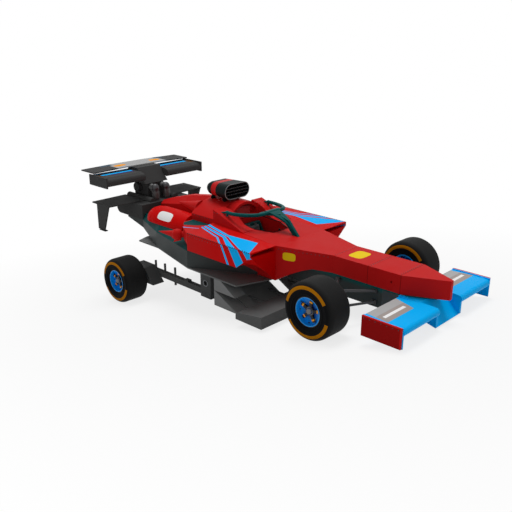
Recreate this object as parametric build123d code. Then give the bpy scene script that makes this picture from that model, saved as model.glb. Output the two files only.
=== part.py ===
"""Open wheel racing car: a level body carried nose-down on four equal wheels.

Millimetres. The body is built level about a datum at the middle of the front
axle (X forward, Y left, Z up).  The rear axle hangs below that level body on
long trailing arms, so stand() turns the body about the front axle until all
four wheels rest on the floor.  The last section then puts the origin at the
middle of the footprint, on the floor.
"""
import os
from math import asin, cos, degrees, radians, sin, sqrt, tan

from build123d import *

os.makedirs("parts", exist_ok=True)

# ---- fits -------------------------------------------------------------------
SEAT = 0.3             # gap between pieces that sit on each other
RUNNING = 0.05         # radial gap of a shaft in its bore
CLEAR = 8.0            # least gap between a turning piece and a fixed one
CUT = 1.0              # how far a cutting shape runs past the face that it opens
WELD = 1.0             # how far fused shapes run into each other

# ---- wheels and stance --------------------------------------------------------
TYRE_R = 330.0
TYRE_WIDTH = 369.0
TYRE_SHOULDER = 95.0   # radius of the rounded shoulder
SHOULDER_CHORDS = 3     # straight cones that make up each shoulder
BEAD_R = 172.0
BEAD_INSET = 22.0      # tyre is this much narrower each side at its bead
RIM_WALL = 20.0
RIM_INSET = 24.0       # rim's edge inside the tyre's side
RIM_DISH = 62.0        # depth of the wheel's face inside the rim's edge
RIM_FACE = 16.0
RIM_HUB_R = 52.0
RIM_HUB_LOW = 40.0     # hub's inner end from the rim's inner edge
SPOKES = 5
SPOKE_WIDTH = 34.0
SPOKE_REACH = 128.0
SPOKE_TALL = 26.0
AXLE_R = 30.0
CAP_R = 40.0
CAP_RISE = 24.0
FRONT_TRACK = 1867.0
REAR_TRACK = 1815.0
WHEELBASE = 3683.0     # measured along the floor
REAR_DROP = 675.0      # rear axle below the front one, square to the level body
RAKE = degrees(asin(REAR_DROP / WHEELBASE))
REAR_AXLE_X = -sqrt(WHEELBASE ** 2 - REAR_DROP ** 2)

# ---- nose ----------------------------------------------------------------------
NOSE_TIP_X = 1034.0
NOSE_TIP_HALF = 22.0
NOSE_JOINT_X = 573.0
NOSE_HALF = 238.0
NOSE_TOP = 330.0
NOSE_BOTTOM = 115.0
CAMERA_BORE_R = 12.5
CAMERA_BORE_X = 450.0
CAMERA_BORE_Z = 222.0

# ---- tub and cockpit -------------------------------------------------------------
TUB_FRONT_X = -346.0
SHOULDER_X = -1036.0
SHOULDER_HALF = 460.0
SHOULDER_TOP = 336.0
ARCH_TOP_X = -586.0    # where the rising underside meets the nose's bottom line
ARCH_SAG = 22.0
TUB_REAR_X = -2155.0
TUB_REAR_TOP = 400.0
COCKPIT_FRONT_X = -1372.0
COCKPIT_WIDE_X = -1600.0
COCKPIT_REAR_X = -2010.0
COCKPIT_FRONT_HALF = 130.0
COCKPIT_HALF = 235.0
COCKPIT_FLOOR = -70.0
COCKPIT_CORNER_R = 60.0
FAIRING_FRONT_X = -1600.0
FAIRING_TOP = 572.0
FAIRING_INNER = 250.0
FAIRING_LIP = 6.0      # thickness at its front edge
# share of the fairing's length from the front, share of its rise at the inner edge
FAIRING_INNER_RISE = ((0.14, 0.01), (0.32, 0.12), (0.45, 0.38), (0.58, 0.66), (0.78, 0.9))
HOOD_HALF = 248.0
HOOD_TOP = 618.0
HOOD_SHOULDER = 490.0
HOOD_WALL = 34.0
HOOD_DEPTH = 95.0

# ---- driver's place ----------------------------------------------------------------
SEAT_LENGTH = 330.0
SEAT_GAP = 35.0        # behind the seat, to the cockpit's rear wall
SEAT_HALF = 190.0
SEAT_RISE = 400.0
SEAT_WALL = 30.0
SEAT_BACK_TOP = 50.0   # thickness of the back at its top
SEAT_BACK_FOOT = 170.0 # thickness of the back at the floor
SEAT_SIDE_FRONT = 120.0
SEAT_SIDE_BACK = 90.0
SEAT_HIP = 230.0
HAND_X = -1480.0
HAND_Z = 268.0
HAND_HALF = 92.0
HAND_GRIP_R = 13.0
HAND_GRIP_RISE = 66.0
HAND_PLATE = 18.0
HAND_PLATE_RISE = 40.0
HAND_PLATE_INSET = 16.0
HAND_LINK_R = 8.0
HAND_LINK_Z = 30.0
HAND_HUB = 46.0
HAND_SOCKET = 12.0
HAND_HUB_WALL = 8.0
COLUMN_R = 16.0

# ---- halo --------------------------------------------------------------------------
HALO_FOOT_X = -1064.0
HALO_FOOT_LENGTH = 90.0
HALO_KNEE_X = -1260.0
HALO_KNEE_Z = 497.0
HALO_CROWN_X = -1512.0
HALO_CROWN_Z = 581.0
HALO_BOW = (-1524.0, 205.0, 574.0)
HALO_SIDE = (-1640.0, 316.0, 563.0)
HALO_END = (-1960.0, 387.0, 554.0)
HALO_R = 24.0
HALO_TIP_LENGTH = 110.0
HALO_TIP_SPLAY = 16.0
HALO_TIP_R = 4.0
HALO_POST_R = 15.0
HALO_TIP_STEP = 3.0
HALO_POST_DROP = 60.0
HALO_WEB_FRONT_X = -1380.0
HALO_WEB_REAR_X = -1585.0
HALO_WEB_HALF = 190.0
HALO_WEB_THICK = 30.0
HALO_WEB_SLOPE = 0.06
HALO_STRUT_HALF = 19.0
HALO_STRUT_DROP = 8.0  # strut's top below the tube's

# ---- keel and floor ----------------------------------------------------------------
FLOOR_Z = -130.0
FLOOR_THICK = 16.0
TUB_BOTTOM = FLOOR_Z + FLOOR_THICK + SEAT
KEEL_HALF = 229.0
KEEL_FRONT_X = 344.0
TRAY_TOP = NOSE_BOTTOM - SEAT
TRAY_THICK = 18.0
TRAY_FRONT_X = 905.0
TRAY_TIP_HALF = 60.0
FLOOR_HALF = 920.0
FLOOR_SIDE_FRONT_X = -1254.0
FLOOR_NOSE_X = -1110.0
DIFFUSER_FRONT_X = -3075.0
DIFFUSER_REAR_X = -3530.0
DIFFUSER_HALF = 690.0
DIFFUSER_TAIL = 70.0
DIFFUSER_TAIL_HALF = 500.0

# ---- underbody ---------------------------------------------------------------------
UNDERCUT_X = -1340.0   # underbody starts to spread to the sidepods' width here
HULL_CREST = 200.0     # flat top that carries the tail
HULL_EDGE_Z = 110.0    # outer top edge
HULL_TAIL_X = -3730.0
HULL_END_X = -4105.0
HULL_END_BOTTOM = 88.0
# x, outer half width, half width of the flat top, bottom above the floor's top
HULL_STATIONS = (
    (TUB_REAR_X - SEAT, 920.0, 640.0, 0.0),
    (-3100.0, 690.0, 630.0, 0.0),
    (HULL_TAIL_X, 460.0, 400.0, 104.0),
)

# ---- sidepods ------------------------------------------------------------------------
POD_OUTER = 920.0
POD_REAR_X = TUB_REAR_X + 5.0
POD_LIP_X = -1018.0
POD_TOP = 352.0
POD_INNER_TOP = 392.0
POD_LIP_BOTTOM = 300.0
POD_BOTTOM = 120.0
POD_CHIN_X = -1250.0
POD_CHIN_INNER = 8.0   # chin's inner foot above the floor plate
POD_TAIL_Z = HULL_CREST + SEAT
POD_TAIL_MID_X = -2389.0
POD_TAIL_MID_Y = 782.0
POD_TAIL_END_X = -2575.0
POD_TAIL_END_Y = 610.0
INLET_DEPTH = 420.0
INLET_WALL = 24.0
INLET_MOUTH_LOW = 20.0 # mouth's lower edge below the lip at the inner side
INLET_DROP = 60.0      # duct's floor below the lip at its deep end
INLET_ROOF = 22.0
CONE_BALL_X = -2440.0
CONE_LENGTH = 335.0    # ball's middle to the cone's tip
CONE_DROOP = 3.0       # degrees below level
CONE_SPLAY = 8.0       # degrees outward
CONE_Y = 842.0
CONE_Z = 252.0
CONE_R = 62.0
CONE_SKIRT = 55.0
CONE_NECK = 0.78       # share of the radius behind the skirt
CONE_BALL_R = 76.0
CONE_TIP_R = 4.0
CONE_STEM_R = 40.0
CONE_FIN_DROP = 120.0
CONE_FIN_HALF = 9.0

# ---- engine cover ----------------------------------------------------------------------
COVER_FRONT_X = TUB_REAR_X - 5.0
COVER_LENGTH = 440.0
COVER_REAR_X = COVER_FRONT_X - COVER_LENGTH
COVER_BASE = 325.0
COVER_SHOULDER = 437.0
COVER_HALF = 455.0
COVER_TOP = 612.0
COVER_WALL = 22.0
COVER_NOSE_TAPER = 12.0
PILLAR_THICK = 26.0
# start and end of each pillar, back from the cover's front
PILLARS = ((105.0, 185.0), (235.0, 300.0), (355.0, 430.0))
ENGINE_LENGTH = 380.0
ENGINE_WIDTH = 480.0
ENGINE_HEIGHT = 250.0
ENGINE_GAP = 34.0      # engine's front behind the tub

# ---- tail --------------------------------------------------------------------------------
DECK_BASE_HALF = 190.0
DECK_CROWN_HALF = 52.0
DECK_REAR_X = HULL_TAIL_X
# share of the deck's length, height of its crown, share of its base width
DECK_STATIONS = ((0.0, 604.0, 1.0), (0.46, 524.0, 0.95), (0.82, 413.0, 0.85), (1.0, 345.0, 0.6))
DECK_SIDE = 0.66       # share of the height where the flank breaks
SPIKE_Y = 280.0
SPIKE_Z = 472.0
SPIKE_R = 104.0
SPIKE_LENGTH = 505.0
BARREL_AXIS_Y = 430.0
BARREL_R = 203.0
BARREL_LENGTH = 900.0
# share of the barrel's length, share of its radius
BARREL_STATIONS = ((0.0, 1.0), (0.72, 1.0), (0.84, 0.93), (0.92, 0.8), (0.97, 0.64), (1.0, 0.42))
TAIL_HALF = 460.0
TAIL_REAR_X = -4393.0
TAIL_TOP = 330.0
TAIL_BOTTOM = 108.0
TAIL_CORNER_R = 95.0
TAIL_TUBE_R = 52.0
TAIL_TUBE_WALL = 12.0
TAIL_TUBE_BORE = 90.0
TAIL_TUBE_Y = 215.0
TAIL_TUBE_RISE = 6.0
JACK_R = 12.5
JACK_INSET = 63.0      # bore's axis ahead of the tail's end
JACK_RISE = 122.0
PIPE_R = 62.0
PIPE_Y = 100.0
PIPE_Z = 512.0
PIPE_X = -3868.0
PIPE_NECK = 6.0

# ---- air intake ------------------------------------------------------------------------------
SCOOP_FRONT_X = -2172.0
SCOOP_LENGTH = 415.0
SCOOP_REAR_X = SCOOP_FRONT_X - SCOOP_LENGTH
SCOOP_HALF = 230.0
SCOOP_MID_Z = 742.0
SCOOP_HEIGHT = 212.0
SCOOP_WALL = 18.0
SCOOP_DUCT = 375.0     # depth of the hollow behind the mouth
SCOOP_TAPER = 30.0     # the rear is this much less wide each side
SCOOP_SHRINK = 34.0    # and this much less high
SCOOP_ROUND = 46.0     # length over which the rear end draws in
SCOOP_BARS = 9
SCOOP_BAR_R = 8.0
SCOOP_BAR_INSET = 24.0
STRUT_R = 17.0
STRUT_Y = 120.0
STRUT_BACK = (118.0, 352.0)
STRUT_SINK = 10.0      # how far a strut enters the intake's floor

# ---- front wing ------------------------------------------------------------------------------
FRONT_WING_LE_X = 1050.0
FRONT_WING_TE_X = 573.0
FRONT_WING_TOP = 95.0
FRONT_WING_BOTTOM = 2.0
FRONT_WING_LE_R = 45.0
FRONT_WING_TE_BOTTOM = 70.0
FRONT_WING_INNER = 234.0
PLATE_FRONT_X = 1034.0
PLATE_BOTTOM = -120.0
PLATE_TOP = 104.0
PLATE_INNER_Y = 920.0
PLATE_OUTER_Y = 941.0
INNER_PLATE_THICK = 14.0
INNER_PLATE_NOSE = 8.0
FENCE_THICK = 36.0
FENCE_TOP = 112.0
FENCE_NOSE_TOP = 30.0
FENCE_FLAT = 60.0
FENCE_GROOVE = 10.0
FENCE_GROOVE_DEPTH = 14.0
WEDGE_FRONT_X = 1031.0
WEDGE_TOP_X = 812.0
WEDGE_BOTTOM = -123.0

# ---- rear wings ------------------------------------------------------------------------------
REAR_WING_FRONT_X = -3936.0
REAR_WING_BOTTOM = 614.0
REAR_WING_TOP = 768.0
REAR_WING_INSET = 14.0 # plane inside its endplate, top and bottom
REAR_WING_TE_TALL = 36.0
REAR_WING_HALF = 905.0
REAR_WING_LE_R = 55.0
REAR_PLATE_THICK = 22.0
PYLON_HALF = 212.0
PYLON_TOP = 795.0
PYLON_TOP_X = -4157.0
PYLON_FRONT_X = -3960.0
PYLON_NECK_Z = 574.0
PYLON_NECK_HALF = 150.0
PYLON_NECK_FRONT_X = -3985.0
PYLON_NECK_REAR_X = -4330.0
PYLON_HEEL = 60.0
PYLON_HEEL_X = -4300.0
BOSS_X = -4215.0
BOSS_Z = 486.0
BOSS_R = 72.0
BOSS_HALF = 205.0
FLAP_FRONT_X = -4290.0
FLAP_REAR_X = -4620.0
FLAP_HALF = 890.0
FLAP_BREAK = 300.0     # half width of the flat middle of the flap
FLAP_THICK = 16.0
FLAP_DROOP = 14.0
FLAP_SWEEP = 8.0
TAILPLANE_FRONT_X = -3924.0
TAILPLANE_Z = TAIL_TOP + SEAT
TAILPLANE_THICK = 16.0
TAILPLANE_HALF = 890.0
TAILPLANE_ROOT = 275.0
TAILPLANE_SWEEP = 30.0
FIN_DROP = 375.0
FIN_THICK = 20.0
FIN_TOP_BACK = 8.0     # fin's front top corner behind the plane's front edge
FIN_LOW_BACK = 156.0
FIN_REAR_BACK = 346.0
FIN_FOOT_LENGTH = 150.0
FIN_FOOT_HALF = 26.0
FIN_FOOT_THICK = 10.0
FIN_FOOT_AHEAD = 36.0

# ---- front suspension --------------------------------------------------------------------------
KINGPIN_Y = 600.0
KINGPIN_R = 20.0
KINGPIN_END = 14.0     # pin past the eyes
EYE_R = 38.0
EYE_HEIGHT = 34.0
EYE_Z = 95.0           # eye's mid height above and below the axle
EYE_SINK = 6.0         # an arm's end inside the eye
ARM_R = 15.0
ARM_SPREAD = 250.0     # arms meet the keel this far before and behind the axle
ARM_ROOT_HIGH = 62.0
ARM_ROOT_LOW = -70.0
PAD_THICK = 18.0
PAD_LENGTH = 70.0
PAD_TALL = 46.0
POST_R = 27.0
POST_GAP = 0.5
UPRIGHT_HALF = 62.0
UPRIGHT_TALL = 58.0
DRUM_R = 100.0
DRUM_START = 50.0
DRUM_END = 118.0

# ---- rear trailing arms and floor hangers ----------------------------------------------------------
BEAM_Y = 460.0
BEAM_WIDTH = 70.0
BEAM_OVER = 85.0       # beam's top above the axle
BEAM_UNDER = 3.0       # beam's foot below the axle
BEAM_BEHIND = 40.0     # beam's end behind the axle
BEAM_TOP = -REAR_DROP + BEAM_OVER
BEAM_BOTTOM = -REAR_DROP - BEAM_UNDER
BEAM_REAR_X = REAR_AXLE_X - BEAM_BEHIND
BEAM_TONGUE = 30.0     # beam's front end behind the hanger's front face
PEG_R = 17.0
PEG_RISE = 125.0
PEG_DROP = 55.0
# distance ahead of the rear axle
PEGS = (160.0, 380.0, 615.0)
LUG_AHEAD = 850.0
LUG_LENGTH = 90.0
LUG_RISE = 22.0
CARRIER_OUTER_Y = 696.0
CARRIER_DROP = 67.0    # below the axle
CARRIER_RISE = 155.0
CARRIER_BACK = 100.0
CARRIER_AHEAD = 385.0
CARRIER_TOP_AHEAD = 190.0
HANGER_FRONT_X = -2163.0
HANGER_REAR_X = -2370.0
HANGER_UNDER = 16.0    # hanger's bottom below the beam
HANGER_WIDTH = 130.0
HANGER_HOLE_R = 42.0
HANGER_HOLE_Z = -480.0

# ---- ramps, chocks and board --------------------------------------------------------------------------
RAMP_FRONT_X = -1222.0
RAMP_FRONT_Z = -484.0
RAMP_SLOPE = 28.0
RAMP_THICK = 26.0
RAMP_INNER_Y = 90.0
RAMP_OUTER_Y = 725.0
CHOCK_INNER_Y = 735.0
CHOCK_OUTER_Y = 920.0
CHOCK_REAR_X = -1650.0
CHOCK_SPLIT_Z = -283.0
CHOCK_TOP_X = -1530.0
CHOCK_MID_X = -1274.0
TIE_LENGTH = 60.0
TIE_LOW = -330.0
TIE_HIGH = -260.0
BOARD_FRONT_X = -660.0
BOARD_REAR_X = -1080.0
BOARD_HALF = 1100.0
BOARD_BOTTOM = -432.0
BOARD_FRONT_TALL = 150.0
BOARD_REAR_TALL = 80.0
BOARD_EDGE = 30.0
BOARD_EDGE_RISE = 12.0
BOARD_EDGE_DROP = 20.0
BOARD_ROD_R = 13.0
BOARD_ROD_RISE = 34.0
BOARD_ROD_YS = (200.0, 560.0)
BOARD_ROD_SINK = 5.0

SIDES = {"left": 1, "right": -1}


# ---- helpers -----------------------------------------------------------------
def prism(outline, y_low, y_high):
    """Prism whose outline is (x, z) points, between two Y planes."""
    wire = Wire.make_polygon([Vector(x, y_low, z) for x, z in outline], close=True)
    return Solid.extrude(Face(wire), Vector(0, y_high - y_low, 0))


def slab(outline, z_low, z_high):
    """Prism whose outline is (x, y) points, between two Z planes."""
    wire = Wire.make_polygon([Vector(x, y, z_low) for x, y in outline], close=True)
    return Solid.extrude(Face(wire), Vector(0, 0, z_high - z_low))


def block(x_low, x_high, y_low, y_high, z_low, z_high):
    """Box between six planes."""
    corners = [(x_low, y_low), (x_high, y_low), (x_high, y_high), (x_low, y_high)]
    return slab(corners, z_low, z_high)


def ruled(sections):
    """Straight-sided loft through closed rings of 3D points."""
    wires = [Wire.make_polygon([Vector(*p) for p in ring], close=True) for ring in sections]
    return Solid.make_loft(wires, ruled=True)


def rod(start, end, radius):
    """Round bar between two points."""
    run = Vector(*end) - Vector(*start)
    return Solid.make_cylinder(radius, run.length, Plane(origin=start, z_dir=run))


def spike(start, end, radius_start, radius_end):
    """Round bar whose radius changes evenly between two points."""
    run = Vector(*end) - Vector(*start)
    return Solid.make_cone(radius_start, radius_end, run.length, Plane(origin=start, z_dir=run))


def ball(centre_point, radius):
    """Sphere at a point."""
    return Pos(*centre_point) * Sphere(radius)


def mirrored(shape):
    """The same piece on the other side of the car."""
    return mirror(shape, about=Plane.XZ)


def pair(shape):
    """A piece and its mirror image, as two solids that don't touch."""
    return Compound(list(shape.solids()) + list(mirrored(shape).solids()))


def on_side(shape, side):
    """A piece built for the left, on the side that is asked for."""
    return shape if side > 0 else mirrored(shape)


def stand(shape):
    """Turn the level body nose-down about the front axle and lift it to the wheels."""
    return Pos(0, 0, TYRE_R) * (Rot(0, RAKE, 0) * shape)


def standing_point(x, y, z):
    """Where a point of the level body is once the car stands."""
    turn = radians(RAKE)
    return (x * cos(turn) + z * sin(turn), y, -x * sin(turn) + z * cos(turn) + TYRE_R)


def level_line(z_left, z_right, x_left, x_right, x):
    """Height of a straight line between two points, at x."""
    return z_left + (z_right - z_left) * (x - x_left) / (x_right - x_left)


def rect_ring(x, half, z_low, z_high):
    """Rectangle across the car at x."""
    return [(x, -half, z_low), (x, half, z_low), (x, half, z_high), (x, -half, z_high)]


def arched_face(x, half, base, shoulder, top):
    """Cross section with straight sides and an arched top."""
    arc = Edge.make_three_point_arc((x, half, shoulder), (x, 0, top), (x, -half, shoulder))
    foot = [(x, -half, shoulder), (x, -half, base), (x, half, base), (x, half, shoulder)]
    return Face(Wire([arc] + list(Polyline(*foot).edges())))


def arched_loft(sections):
    """Straight-sided loft through arched cross sections."""
    return Solid.make_loft([arched_face(*section).outer_wire() for section in sections], ruled=True)


BODY = {}       # node name -> solid in the level body's frame
STANDING = {}   # node name -> solid in the standing frame


# ---- nose ----------------------------------------------------------------------
def nose_cone():
    """Wedge from the tip to the first joint."""
    return ruled([
        rect_ring(NOSE_TIP_X, NOSE_TIP_HALF, NOSE_BOTTOM, NOSE_TOP),
        rect_ring(NOSE_JOINT_X + SEAT, NOSE_HALF, NOSE_BOTTOM, NOSE_TOP),
    ])


def nose_box():
    """Straight box that carries the nose cone, bored across for the camera pods' tube."""
    box = block(TUB_FRONT_X + SEAT, NOSE_JOINT_X, -NOSE_HALF, NOSE_HALF, NOSE_BOTTOM, NOSE_TOP)
    reach = NOSE_HALF + CUT
    bore = rod((CAMERA_BORE_X, -reach, CAMERA_BORE_Z), (CAMERA_BORE_X, reach, CAMERA_BORE_Z), CAMERA_BORE_R)
    return box - bore


# ---- tub -----------------------------------------------------------------------
def tub_top(x):
    """Height of the tub's top behind the shoulder."""
    return level_line(SHOULDER_TOP, TUB_REAR_TOP, SHOULDER_X, TUB_REAR_X, x)


def cockpit_cavity():
    """Space of the cockpit: narrow front, wide middle, straight rear, rounded corners."""
    outline = [
        (COCKPIT_FRONT_X, -COCKPIT_FRONT_HALF), (COCKPIT_WIDE_X, -COCKPIT_HALF),
        (COCKPIT_REAR_X, -COCKPIT_HALF), (COCKPIT_REAR_X, COCKPIT_HALF),
        (COCKPIT_WIDE_X, COCKPIT_HALF), (COCKPIT_FRONT_X, COCKPIT_FRONT_HALF),
    ]
    shape = slab(outline, COCKPIT_FLOOR, TUB_REAR_TOP + CUT)
    uprights = shape.edges().filter_by(Axis.Z).sort_by(Axis.X)[-4:]
    return fillet(uprights, COCKPIT_CORNER_R)


def arch_prism(drop, front_x, low_z, half):
    """Solid under the tub's rising underside, its top lowered by drop."""
    y = -half
    heel = (SHOULDER_X, y, TUB_BOTTOM - drop)
    mid_z = (TUB_BOTTOM + NOSE_BOTTOM) / 2 + ARCH_SAG - drop
    crown = (ARCH_TOP_X, y, NOSE_BOTTOM - drop)
    rise = Edge.make_three_point_arc(heel, ((SHOULDER_X + ARCH_TOP_X) / 2, y, mid_z), crown)
    front = [crown, (front_x, y, NOSE_BOTTOM - drop), (front_x, y, low_z), (SHOULDER_X, y, low_z), heel]
    outline = make_face([rise] + list(Polyline(*front).edges()))
    return Solid.extrude(outline.face(), Vector(0, 2 * half, 0))


def monocoque():
    """Tub: flared front with an arched underside, straight back, open cockpit."""
    front = ruled([
        rect_ring(TUB_FRONT_X, NOSE_HALF, TUB_BOTTOM, NOSE_TOP),
        rect_ring(SHOULDER_X, SHOULDER_HALF, TUB_BOTTOM, SHOULDER_TOP),
    ])
    back = ruled([
        rect_ring(SHOULDER_X, SHOULDER_HALF, TUB_BOTTOM, SHOULDER_TOP),
        rect_ring(TUB_REAR_X, SHOULDER_HALF, TUB_BOTTOM, TUB_REAR_TOP),
    ])
    arch = arch_prism(0, TUB_FRONT_X + CUT, TUB_BOTTOM - CUT, SHOULDER_HALF + CUT)
    return front + back - arch - cockpit_cavity()


def cockpit_fairing():
    """Left wedge beside the cockpit: straight outside, swelling late at its inner edge."""
    length = FAIRING_FRONT_X - TUB_REAR_X
    lip = tub_top(FAIRING_FRONT_X) + SEAT + FAIRING_LIP
    xs = [FAIRING_FRONT_X - share * length for share, _ in FAIRING_INNER_RISE]
    base = [tub_top(x) + SEAT for x in (TUB_REAR_X, FAIRING_FRONT_X)]

    def ring(y, heights):
        top = [(x, y, z) for x, z in zip(xs, heights)]
        ends = [(TUB_REAR_X, y, FAIRING_TOP), (TUB_REAR_X, y, base[0]), (FAIRING_FRONT_X, y, base[1])]
        return [(FAIRING_FRONT_X, y, lip)] + top + ends

    floor = [tub_top(x) + SEAT + FAIRING_LIP for x in xs]
    inner = [max(z, lip + rise * (FAIRING_TOP - lip)) for z, (_, rise) in zip(floor, FAIRING_INNER_RISE)]
    outer = [lip + share * (FAIRING_TOP - lip) for share, _ in FAIRING_INNER_RISE]
    return ruled([ring(FAIRING_INNER, inner), ring(SHOULDER_HALF, outer)])


def headrest():
    """Arched hood behind the driver's head, hollowed at the front."""
    base = TUB_REAR_TOP + SEAT
    front = COCKPIT_REAR_X - CUT
    hood = arched_loft([
        (TUB_REAR_X, HOOD_HALF, base, HOOD_SHOULDER, HOOD_TOP),
        (front, HOOD_HALF, base, HOOD_SHOULDER, HOOD_TOP),
    ])
    half, top = HOOD_HALF - HOOD_WALL, HOOD_TOP - HOOD_WALL
    recess = arched_loft([
        (front - HOOD_DEPTH, half, base + HOOD_WALL, HOOD_SHOULDER, top),
        (front + CUT, half, base + HOOD_WALL, HOOD_SHOULDER, top),
    ])
    return hood - recess


# ---- driver's place ------------------------------------------------------------------
def seat():
    """Moulded shell seat with raised sides and a reclined back."""
    low = COCKPIT_FLOOR + SEAT
    rear = COCKPIT_REAR_X + SEAT_GAP
    front = rear + SEAT_LENGTH
    top = low + SEAT_RISE
    side = [
        (front, low), (front, low + SEAT_SIDE_FRONT), (rear + SEAT_HIP, low + SEAT_SIDE_BACK),
        (rear + SEAT_BACK_TOP, top), (rear, top), (rear, low),
    ]
    hollow = [
        (front + CUT, low + SEAT_WALL), (front + CUT, top + CUT),
        (rear + SEAT_BACK_TOP, top + CUT), (rear + SEAT_BACK_FOOT, low + SEAT_WALL),
    ]
    inner = SEAT_HALF - SEAT_WALL
    return prism(side, -SEAT_HALF, SEAT_HALF) - prism(hollow, -inner, inner)


def steering_wheel():
    """Butterfly hand wheel: two grips, a flat centre and its short hub."""
    half = HAND_PLATE / 2
    plate_half = HAND_HALF - HAND_PLATE_INSET
    wheel = block(-half, half, -plate_half, plate_half, -HAND_PLATE_RISE, HAND_PLATE_RISE)
    for s in (-1, 1):
        wheel += rod((0, s * HAND_HALF, -HAND_GRIP_RISE), (0, s * HAND_HALF, HAND_GRIP_RISE), HAND_GRIP_R)
        for z in (-HAND_LINK_Z, HAND_LINK_Z):
            wheel += rod((0, s * (plate_half - HAND_PLATE_INSET), z), (0, s * HAND_HALF, z), HAND_LINK_R)
    wheel += rod((0, 0, 0), (HAND_HUB, 0, 0), COLUMN_R + HAND_HUB_WALL)
    wheel -= rod((HAND_SOCKET, 0, 0), (HAND_HUB + CUT, 0, 0), COLUMN_R + RUNNING)
    return Pos(HAND_X, 0, HAND_Z) * wheel


def steering_column():
    """Fixed column that carries the hand wheel, from the front of the cockpit."""
    return rod((HAND_X + HAND_SOCKET + SEAT, 0, HAND_Z), (COCKPIT_FRONT_X - SEAT, 0, HAND_Z), COLUMN_R)


# ---- halo ----------------------------------------------------------------------------
def halo_arms():
    """One bent tube over the cockpit, from one rear foot to the other."""
    half = [(HALO_CROWN_X, 0, HALO_CROWN_Z), HALO_BOW, HALO_SIDE, HALO_END]
    other = [(x, -y, z) for x, y, z in reversed(half[1:])]
    path = Wire(Spline(*other, *half).edges())
    section = Wire(Edge.make_circle(HALO_R, Plane(origin=path @ 0, z_dir=path % 0)))
    return Solid.sweep(section, path=path)


def halo():
    """Guard over the cockpit: a centre strut that forks into two arms with feet."""
    rear_x = HALO_FOOT_X - HALO_FOOT_LENGTH
    grip = HALO_R - HALO_STRUT_DROP
    side = [
        (rear_x, tub_top(rear_x) + SEAT), (HALO_FOOT_X, tub_top(HALO_FOOT_X) + SEAT),
        (HALO_KNEE_X + HALO_R, HALO_KNEE_Z + HALO_R), (HALO_CROWN_X, HALO_CROWN_Z + grip),
        (HALO_CROWN_X, HALO_CROWN_Z - grip), (HALO_KNEE_X - HALO_R, HALO_KNEE_Z - HALO_R),
    ]
    guard = halo_arms() + prism(side, -HALO_STRUT_HALF, HALO_STRUT_HALF)
    web_z = HALO_CROWN_Z - HALO_R
    rear_z = web_z + HALO_WEB_SLOPE * (HALO_WEB_FRONT_X - HALO_WEB_REAR_X)
    rings = []
    for rise in (-HALO_WEB_THICK / 2, HALO_WEB_THICK / 2):
        rings.append([
            (HALO_WEB_FRONT_X, 0, web_z + rise), (HALO_WEB_REAR_X, HALO_WEB_HALF, rear_z + rise),
            (HALO_WEB_REAR_X, -HALO_WEB_HALF, rear_z + rise),
        ])
    guard += ruled(rings)
    for s in (-1, 1):
        x, y, z = HALO_END
        end = (x, s * y, z)
        tip = (x - HALO_TIP_LENGTH, s * (y + HALO_TIP_SPLAY), z - HALO_TIP_SPLAY)
        guard += ball(end, HALO_R + WELD)
        guard += spike(end, tip, HALO_R - HALO_TIP_STEP, HALO_TIP_R)
        guard += rod(end, (x, s * y, z - HALO_POST_DROP), HALO_POST_R)
    return guard - grown_fairings()


def grown_fairings():
    """Both cockpit fairings, raised by a seat's gap, that the halo's feet stop at."""
    raised = Pos(0, 0, SEAT) * cockpit_fairing()
    return pair(raised)


# ---- keel, floor and underbody ---------------------------------------------------
def keel():
    """Dark centre box under the nose and tub, with the tray that runs to the nose."""
    box = arch_prism(SEAT, KEEL_FRONT_X, FLOOR_Z, KEEL_HALF)
    tray = slab(
        [(KEEL_FRONT_X - WELD, -KEEL_HALF), (NOSE_JOINT_X, -KEEL_HALF), (TRAY_FRONT_X, -TRAY_TIP_HALF),
         (TRAY_FRONT_X, TRAY_TIP_HALF), (NOSE_JOINT_X, KEEL_HALF), (KEEL_FRONT_X - WELD, KEEL_HALF)],
        TRAY_TOP - TRAY_THICK, TRAY_TOP)
    return box + tray


def hull_ring(x, half, crest_half, bottom):
    """Cross section of the underbody: flat top, sloping shoulders, straight sides."""
    return [
        (x, -half, bottom), (x, half, bottom), (x, half, HULL_EDGE_Z),
        (x, crest_half, HULL_CREST), (x, -crest_half, HULL_CREST), (x, -half, HULL_EDGE_Z),
    ]


def underbody():
    """Underbody behind the tub, with the two flanks that run forward beside it."""
    low = FLOOR_Z + FLOOR_THICK + SEAT
    rings = [hull_ring(x, half, crest, low + rise) for x, half, crest, rise in HULL_STATIONS]
    shape = ruled(rings[:2]) + ruled(rings[1:])
    _, half, crest, rise = HULL_STATIONS[-1]
    shape += ruled([
        rect_ring(HULL_TAIL_X, half, low + rise, HULL_EDGE_Z - CUT),
        rect_ring(HULL_END_X, half, HULL_END_BOTTOM, HULL_EDGE_Z - CUT),
    ])
    x, outer = HULL_STATIONS[0][:2]
    inner = SHOULDER_HALF + SEAT
    for s in (-1, 1):
        flank = [(UNDERCUT_X, s * inner), (x - WELD, s * inner), (x - WELD, s * outer)]
        shape += slab(flank, low, HULL_EDGE_Z)
    return shape


def floor_plate():
    """Flat floor under the sidepods, its front corners cut back to the keel."""
    half_plan = [
        (FLOOR_NOSE_X, SHOULDER_HALF), (FLOOR_SIDE_FRONT_X, FLOOR_HALF), (TUB_REAR_X, FLOOR_HALF),
        (DIFFUSER_FRONT_X, DIFFUSER_HALF), (DIFFUSER_REAR_X, DIFFUSER_HALF),
        (DIFFUSER_REAR_X - DIFFUSER_TAIL, DIFFUSER_TAIL_HALF),
    ]
    plan = half_plan + [(x, -y) for x, y in reversed(half_plan)]
    return slab(plan, FLOOR_Z, FLOOR_Z + FLOOR_THICK)


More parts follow.
